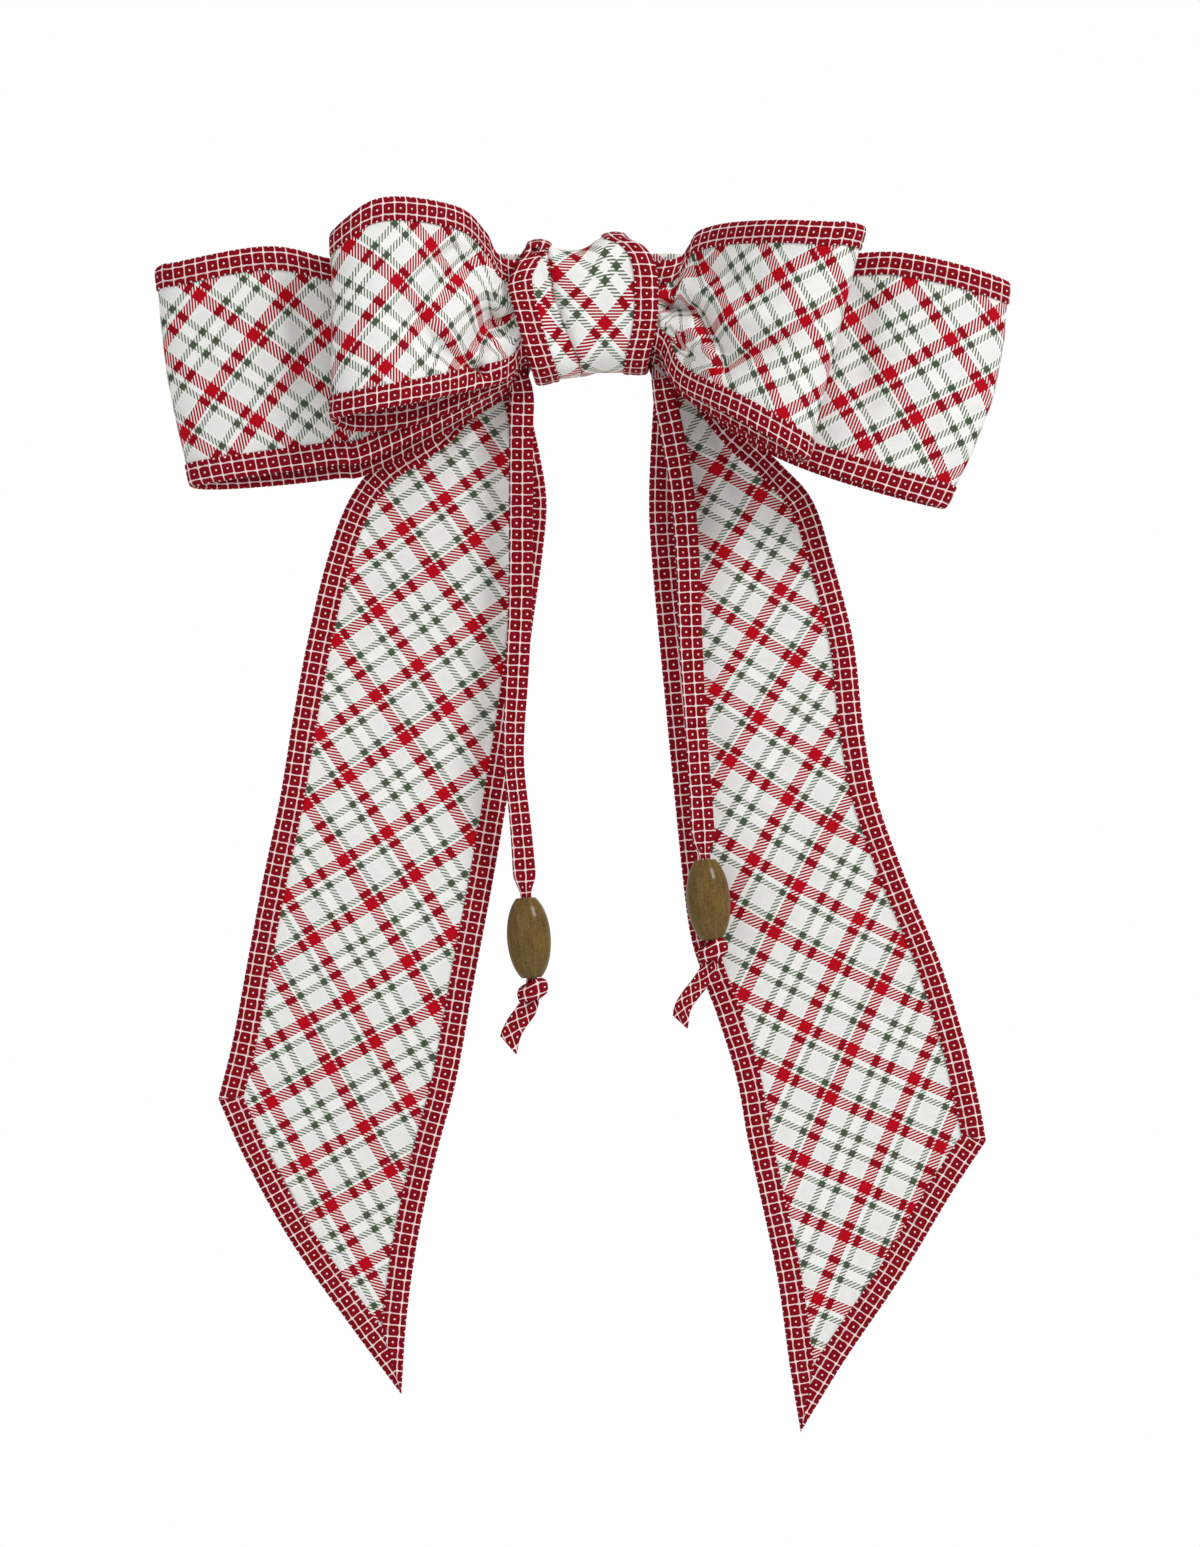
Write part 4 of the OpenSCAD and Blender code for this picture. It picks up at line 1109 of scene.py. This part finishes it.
def backing_band():
    """The unbound strip behind the knot, bowed with the barrette."""
    radius = BASE_R + PLATE_T + BAND_GAP + BAND_T / 2
    angle = np.linspace(-BAND_HALF_L / radius, BAND_HALF_L / radius, BAND_COLS)
    z = np.linspace(BAND_LOW, BAND_HIGH, BAND_ROWS)
    x = radius * np.sin(angle)
    y = BASE_Y + BASE_R - radius * np.cos(angle)
    grid = np.stack(np.broadcast_arrays(x[:, None], y[:, None], z[None, :]), axis=-1).copy()
    fray = 0.12 * np.sin(x * 5.1) + 0.1 * np.sin(x * 11.3)
    grid[:, -1, 2] += fray
    grid[:, 0, 2] -= fray
    uv = np.stack([grid[..., 0] + 8, grid[..., 2] + 5], axis=-1)
    piece = shell("backing_band_cloth", grid[:, ::-1], BAND_T * 0.85, uv[:, ::-1], plaid, "bow")
    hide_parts("backing_band")


backing_band()

# y and z of the ring that the wrap's middle surface makes
WRAP_SECTION = [
    (-9.9, -12), (-9.9, 0), (-9.9, 12), (-12.7, 16.1), (-15.7, 17.9), (-19, 18.3), (-22.4, 17.7),
    (-25.4, 15.6), (-27.4, 11.5), (-28.0, 4), (-28.0, -4), (-27.4, -11.5), (-25.4, -15.6),
    (-22.4, -17.7), (-19, -18.3), (-15.7, -17.9), (-12.7, -16.1)
]
# z and x of the wrap's side edges, upwards
WRAP_LEFT = [(-25, -12.5), (-18, -13.8), (-5.2, -17.7), (7, -20.5), (12, -19.3), (14.4, -17.3),
             (17, -16.2), (25, -15)]
WRAP_RIGHT = [(-25, 13.5), (-15.3, 14.7), (-7.5, 16.3), (-1.3, 17), (7.3, 17), (12.4, 15.9),
              (15.5, 13.5), (17.6, 9.6), (25, 6)]
# x and height of its top, and x and depth of its bottom, in front
WRAP_TOP = [(-21, 13), (-17, 15.6), (-12, 16.8), (-8, 14.9), (-2, 14.8), (4, 18.3), (8, 18.5),
            (18, 18.2)]
WRAP_BOTTOM = [(-21, 18.4), (-14, 18.2), (-8, 17), (-1.5, 16.2), (3, 15.2), (14, 15.2), (18, 15)]
WRAP_RADIUS = 18.3  # height of the ring, which its top and bottom are shares of
WRAP_CENTRE = np.array((0, -19.0, 0))
WRAP_ROWS, WRAP_COLS = 160, 52
WRAP_PULL = 0.8  # cloth round the ring for each millimetre of ring
CREASE = [(-10.7, 14.8), (-9.1, 5), (-7.2, -1.3), (-5.6, -5.9), (-3.3, -11.4), (-2.1, -15.7)]
CREASE_CLOTH = 4.5  # width of cloth that the crease takes in
WRAP_FOLDS = [
    (CREASE, 0.7, 1.5, 0.3),
    ([(-12.4, 13), (-11, 4), (-9.2, -2), (-7.6, -7), (-5.4, -12)], 1.9, 1.3, 0.3),
    ([(-12.9, 14.2), (-12.7, 13.6)], 1.1, 1.8, 0.0),
    ([(-16.2, 14.8), (-11.9, 16.7), (-9.1, 15.2)], 1.3, -0.7, 0.2),
    ([(-4.5, 12), (-3.5, 2), (-1, -10)], 3.0, -0.7, 0.5),
]


class Wrap:
    """The wrap: a ring of cloth round the middle of the bow."""

    def __init__(self):
        ring = smooth(WRAP_SECTION, closed=True)
        closed = resample(np.vstack([ring, ring[:1]]), WRAP_ROWS + 1)
        self.ring = ring = closed[:-1]
        self.left = np.interp(ring[:, 1], *np.array(smooth(WRAP_LEFT)).T)
        self.right = np.interp(ring[:, 1], *np.array(smooth(WRAP_RIGHT)).T)
        self.along = lengths_along(closed)[:-1]

    def at(self, x):
        """Points of the ring's middle surface at x, one row of x for each point of the ring."""
        y, z = self.ring[:, :1] + 0 * x, self.ring[:, 1:] + 0 * x
        top = np.interp(x, *np.array(smooth(WRAP_TOP)).T)
        bottom = np.interp(x, *np.array(smooth(WRAP_BOTTOM)).T)
        front = ease((-y - 11) / 4)
        scale = np.where(z > 0, top, bottom) / WRAP_RADIUS
        z = z * (1 + (scale - 1) * front)
        y = y + ease((-y - 20) / 6) * folded(x, z, WRAP_FOLDS)
        return np.stack([x, y, z], axis=-1)

    def placed(self, x, height):
        """Points at a height above the middle surface, on its outer side."""
        here = self.at(x)
        ahead = np.roll(here, -1, axis=0) - np.roll(here, 1, axis=0)
        n = unit(np.cross(self.at(x + 0.1) - self.at(x - 0.1), ahead))
        away = np.sum(n * (here - WRAP_CENTRE), axis=-1, keepdims=True)
        return here + n * np.sign(away) * height

    def build(self):
        """The ring of cloth and the bindings of its two edges."""
        share = np.linspace(0, 1, WRAP_COLS)[None, :]
        x = (self.left[:, None] + HEM) * (1 - share) + (self.right[:, None] - HEM) * share
        outer, inner = self.placed(x, CLOTH_T / 2), self.placed(x, -CLOTH_T / 2)
        rings = np.concatenate([outer, inner[:, ::-1]], axis=1)
        # the bias-cut cloth is pulled longer round the ring
        uv_half = np.stack(np.broadcast_arrays(self.along[:, None] * WRAP_PULL, x), axis=-1)
        facing = self.ring[:, 0] < -22
        crease_x = np.interp(-self.ring[:, 1], *np.array([(-z, x) for x, z in CREASE]).T)
        side = ease((crease_x[:, None] - x) / 0.5) * ease((-self.ring[:, :1] - 20) / 4)
        # the plaid jumps at the crease, which takes cloth in
        uv_half[..., 1] -= CREASE_CLOTH * side
        uv_half = anchored(uv_half, outer, facing, (3.75, -3.6), RED_CROSSING,
                           ((0, -WRAP_PULL), (1, 0)))
        uv = np.concatenate([uv_half, uv_half[:, ::-1]], axis=1)
        cloth = tube("knot_wrap_cloth", rings, uv, plaid, "bow", closed=True)
        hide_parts("knot_wrap")
        tapes = []
        for name, edge, sign in (("left", self.left, 1), ("right", self.right, -1)):
            def place(a, b, edge=edge, sign=sign):
                return self.placed((edge + sign * a)[:, None], b)[:, 0]
            tape, stitches = binding(f"knot_wrap_binding_{name}_tape", place, self.along, "bow",
                                     closed=True)
            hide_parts(f"knot_wrap_binding_{name}")
            tapes += [tape, stitches]


Wrap().build()


# --- barrette ---

METAL = ("barrette_base", "barrette_pin", "clasp_arm", "tension_bar", "catch_plate",
         "catch_rivet", "catch_prong_upper", "catch_prong_lower")
for node, material in [*((node, steel) for node in METAL), ("barrette_stitches", sewing_thread)]:
    slots = frame["nodes"][node].data.materials
    slots.clear()
    slots.append(material)


# --- floor, light and world ---

FLOOR_DROP = 0.2  # metres from the bow's lowest point down to the floor


def floor():
    """A plain pale floor."""
    g = Graph("floor")
    where = g.node("ShaderNodeTexCoord").outputs["Object"]
    tone = g.ramp(g.noise(where, 3.0), [(0.3, (0.8, 0.8, 0.79)), (0.7, (0.84, 0.84, 0.83))])
    material = g.finish(tone, None, 0.8)
    z = cad_low[2] - FLOOR_DROP
    corners = [(-1.5, -1.2, z), (1.5, -1.2, z), (1.5, 0.6, z), (-1.5, 0.6, z)]
    mesh = bpy.data.meshes.new("floor")
    mesh.from_pydata(corners, [], [(0, 1, 2, 3)])
    mesh.materials.append(material)
    plane = bpy.data.objects.new("floor", mesh)
    bpy.context.scene.collection.objects.link(plane)


def area_light(name, place, aim, size, power):
    """A square light; place and size are in metres, power in watts."""
    data = bpy.data.lights.new(name, "AREA")
    data.size, data.energy = size, power
    lamp = bpy.data.objects.new(name, data)
    lamp.location = place
    lamp.rotation_euler = (Vector(aim) - Vector(place)).to_track_quat("-Z", "Y").to_euler()
    bpy.context.scene.collection.objects.link(lamp)


WORLD_LIGHT = 0.6


def world():
    """An even light that the camera sees as white."""
    made = bpy.data.worlds.new("world")
    made.use_nodes = True
    tree = made.node_tree
    tree.nodes.clear()
    out = tree.nodes.new("ShaderNodeOutputWorld")
    seen, light = tree.nodes.new("ShaderNodeBackground"), tree.nodes.new("ShaderNodeBackground")
    seen.inputs["Color"].default_value = light.inputs["Color"].default_value = (1, 1, 1, 1)
    seen.inputs["Strength"].default_value = 1.0
    light.inputs["Strength"].default_value = WORLD_LIGHT
    rays = tree.nodes.new("ShaderNodeLightPath")
    pick = tree.nodes.new("ShaderNodeMixShader")
    tree.links.new(rays.outputs["Is Camera Ray"], pick.inputs[0])
    tree.links.new(light.outputs[0], pick.inputs[1])
    tree.links.new(seen.outputs[0], pick.inputs[2])
    tree.links.new(pick.outputs[0], out.inputs[0])
    bpy.context.scene.world = made


floor()
world()
middle = (cad_low + cad_high) / 2
area_light("key", (0.75, -0.75, 0.7), middle, 0.45, 9.5)
area_light("fill", (-0.8, -0.9, 0.1), middle, 0.9, 1.8)
area_light("rear", (0.2, 1.0, 0.4), middle, 0.8, 6.0)
bpy.context.scene.view_settings.view_transform = "Standard"
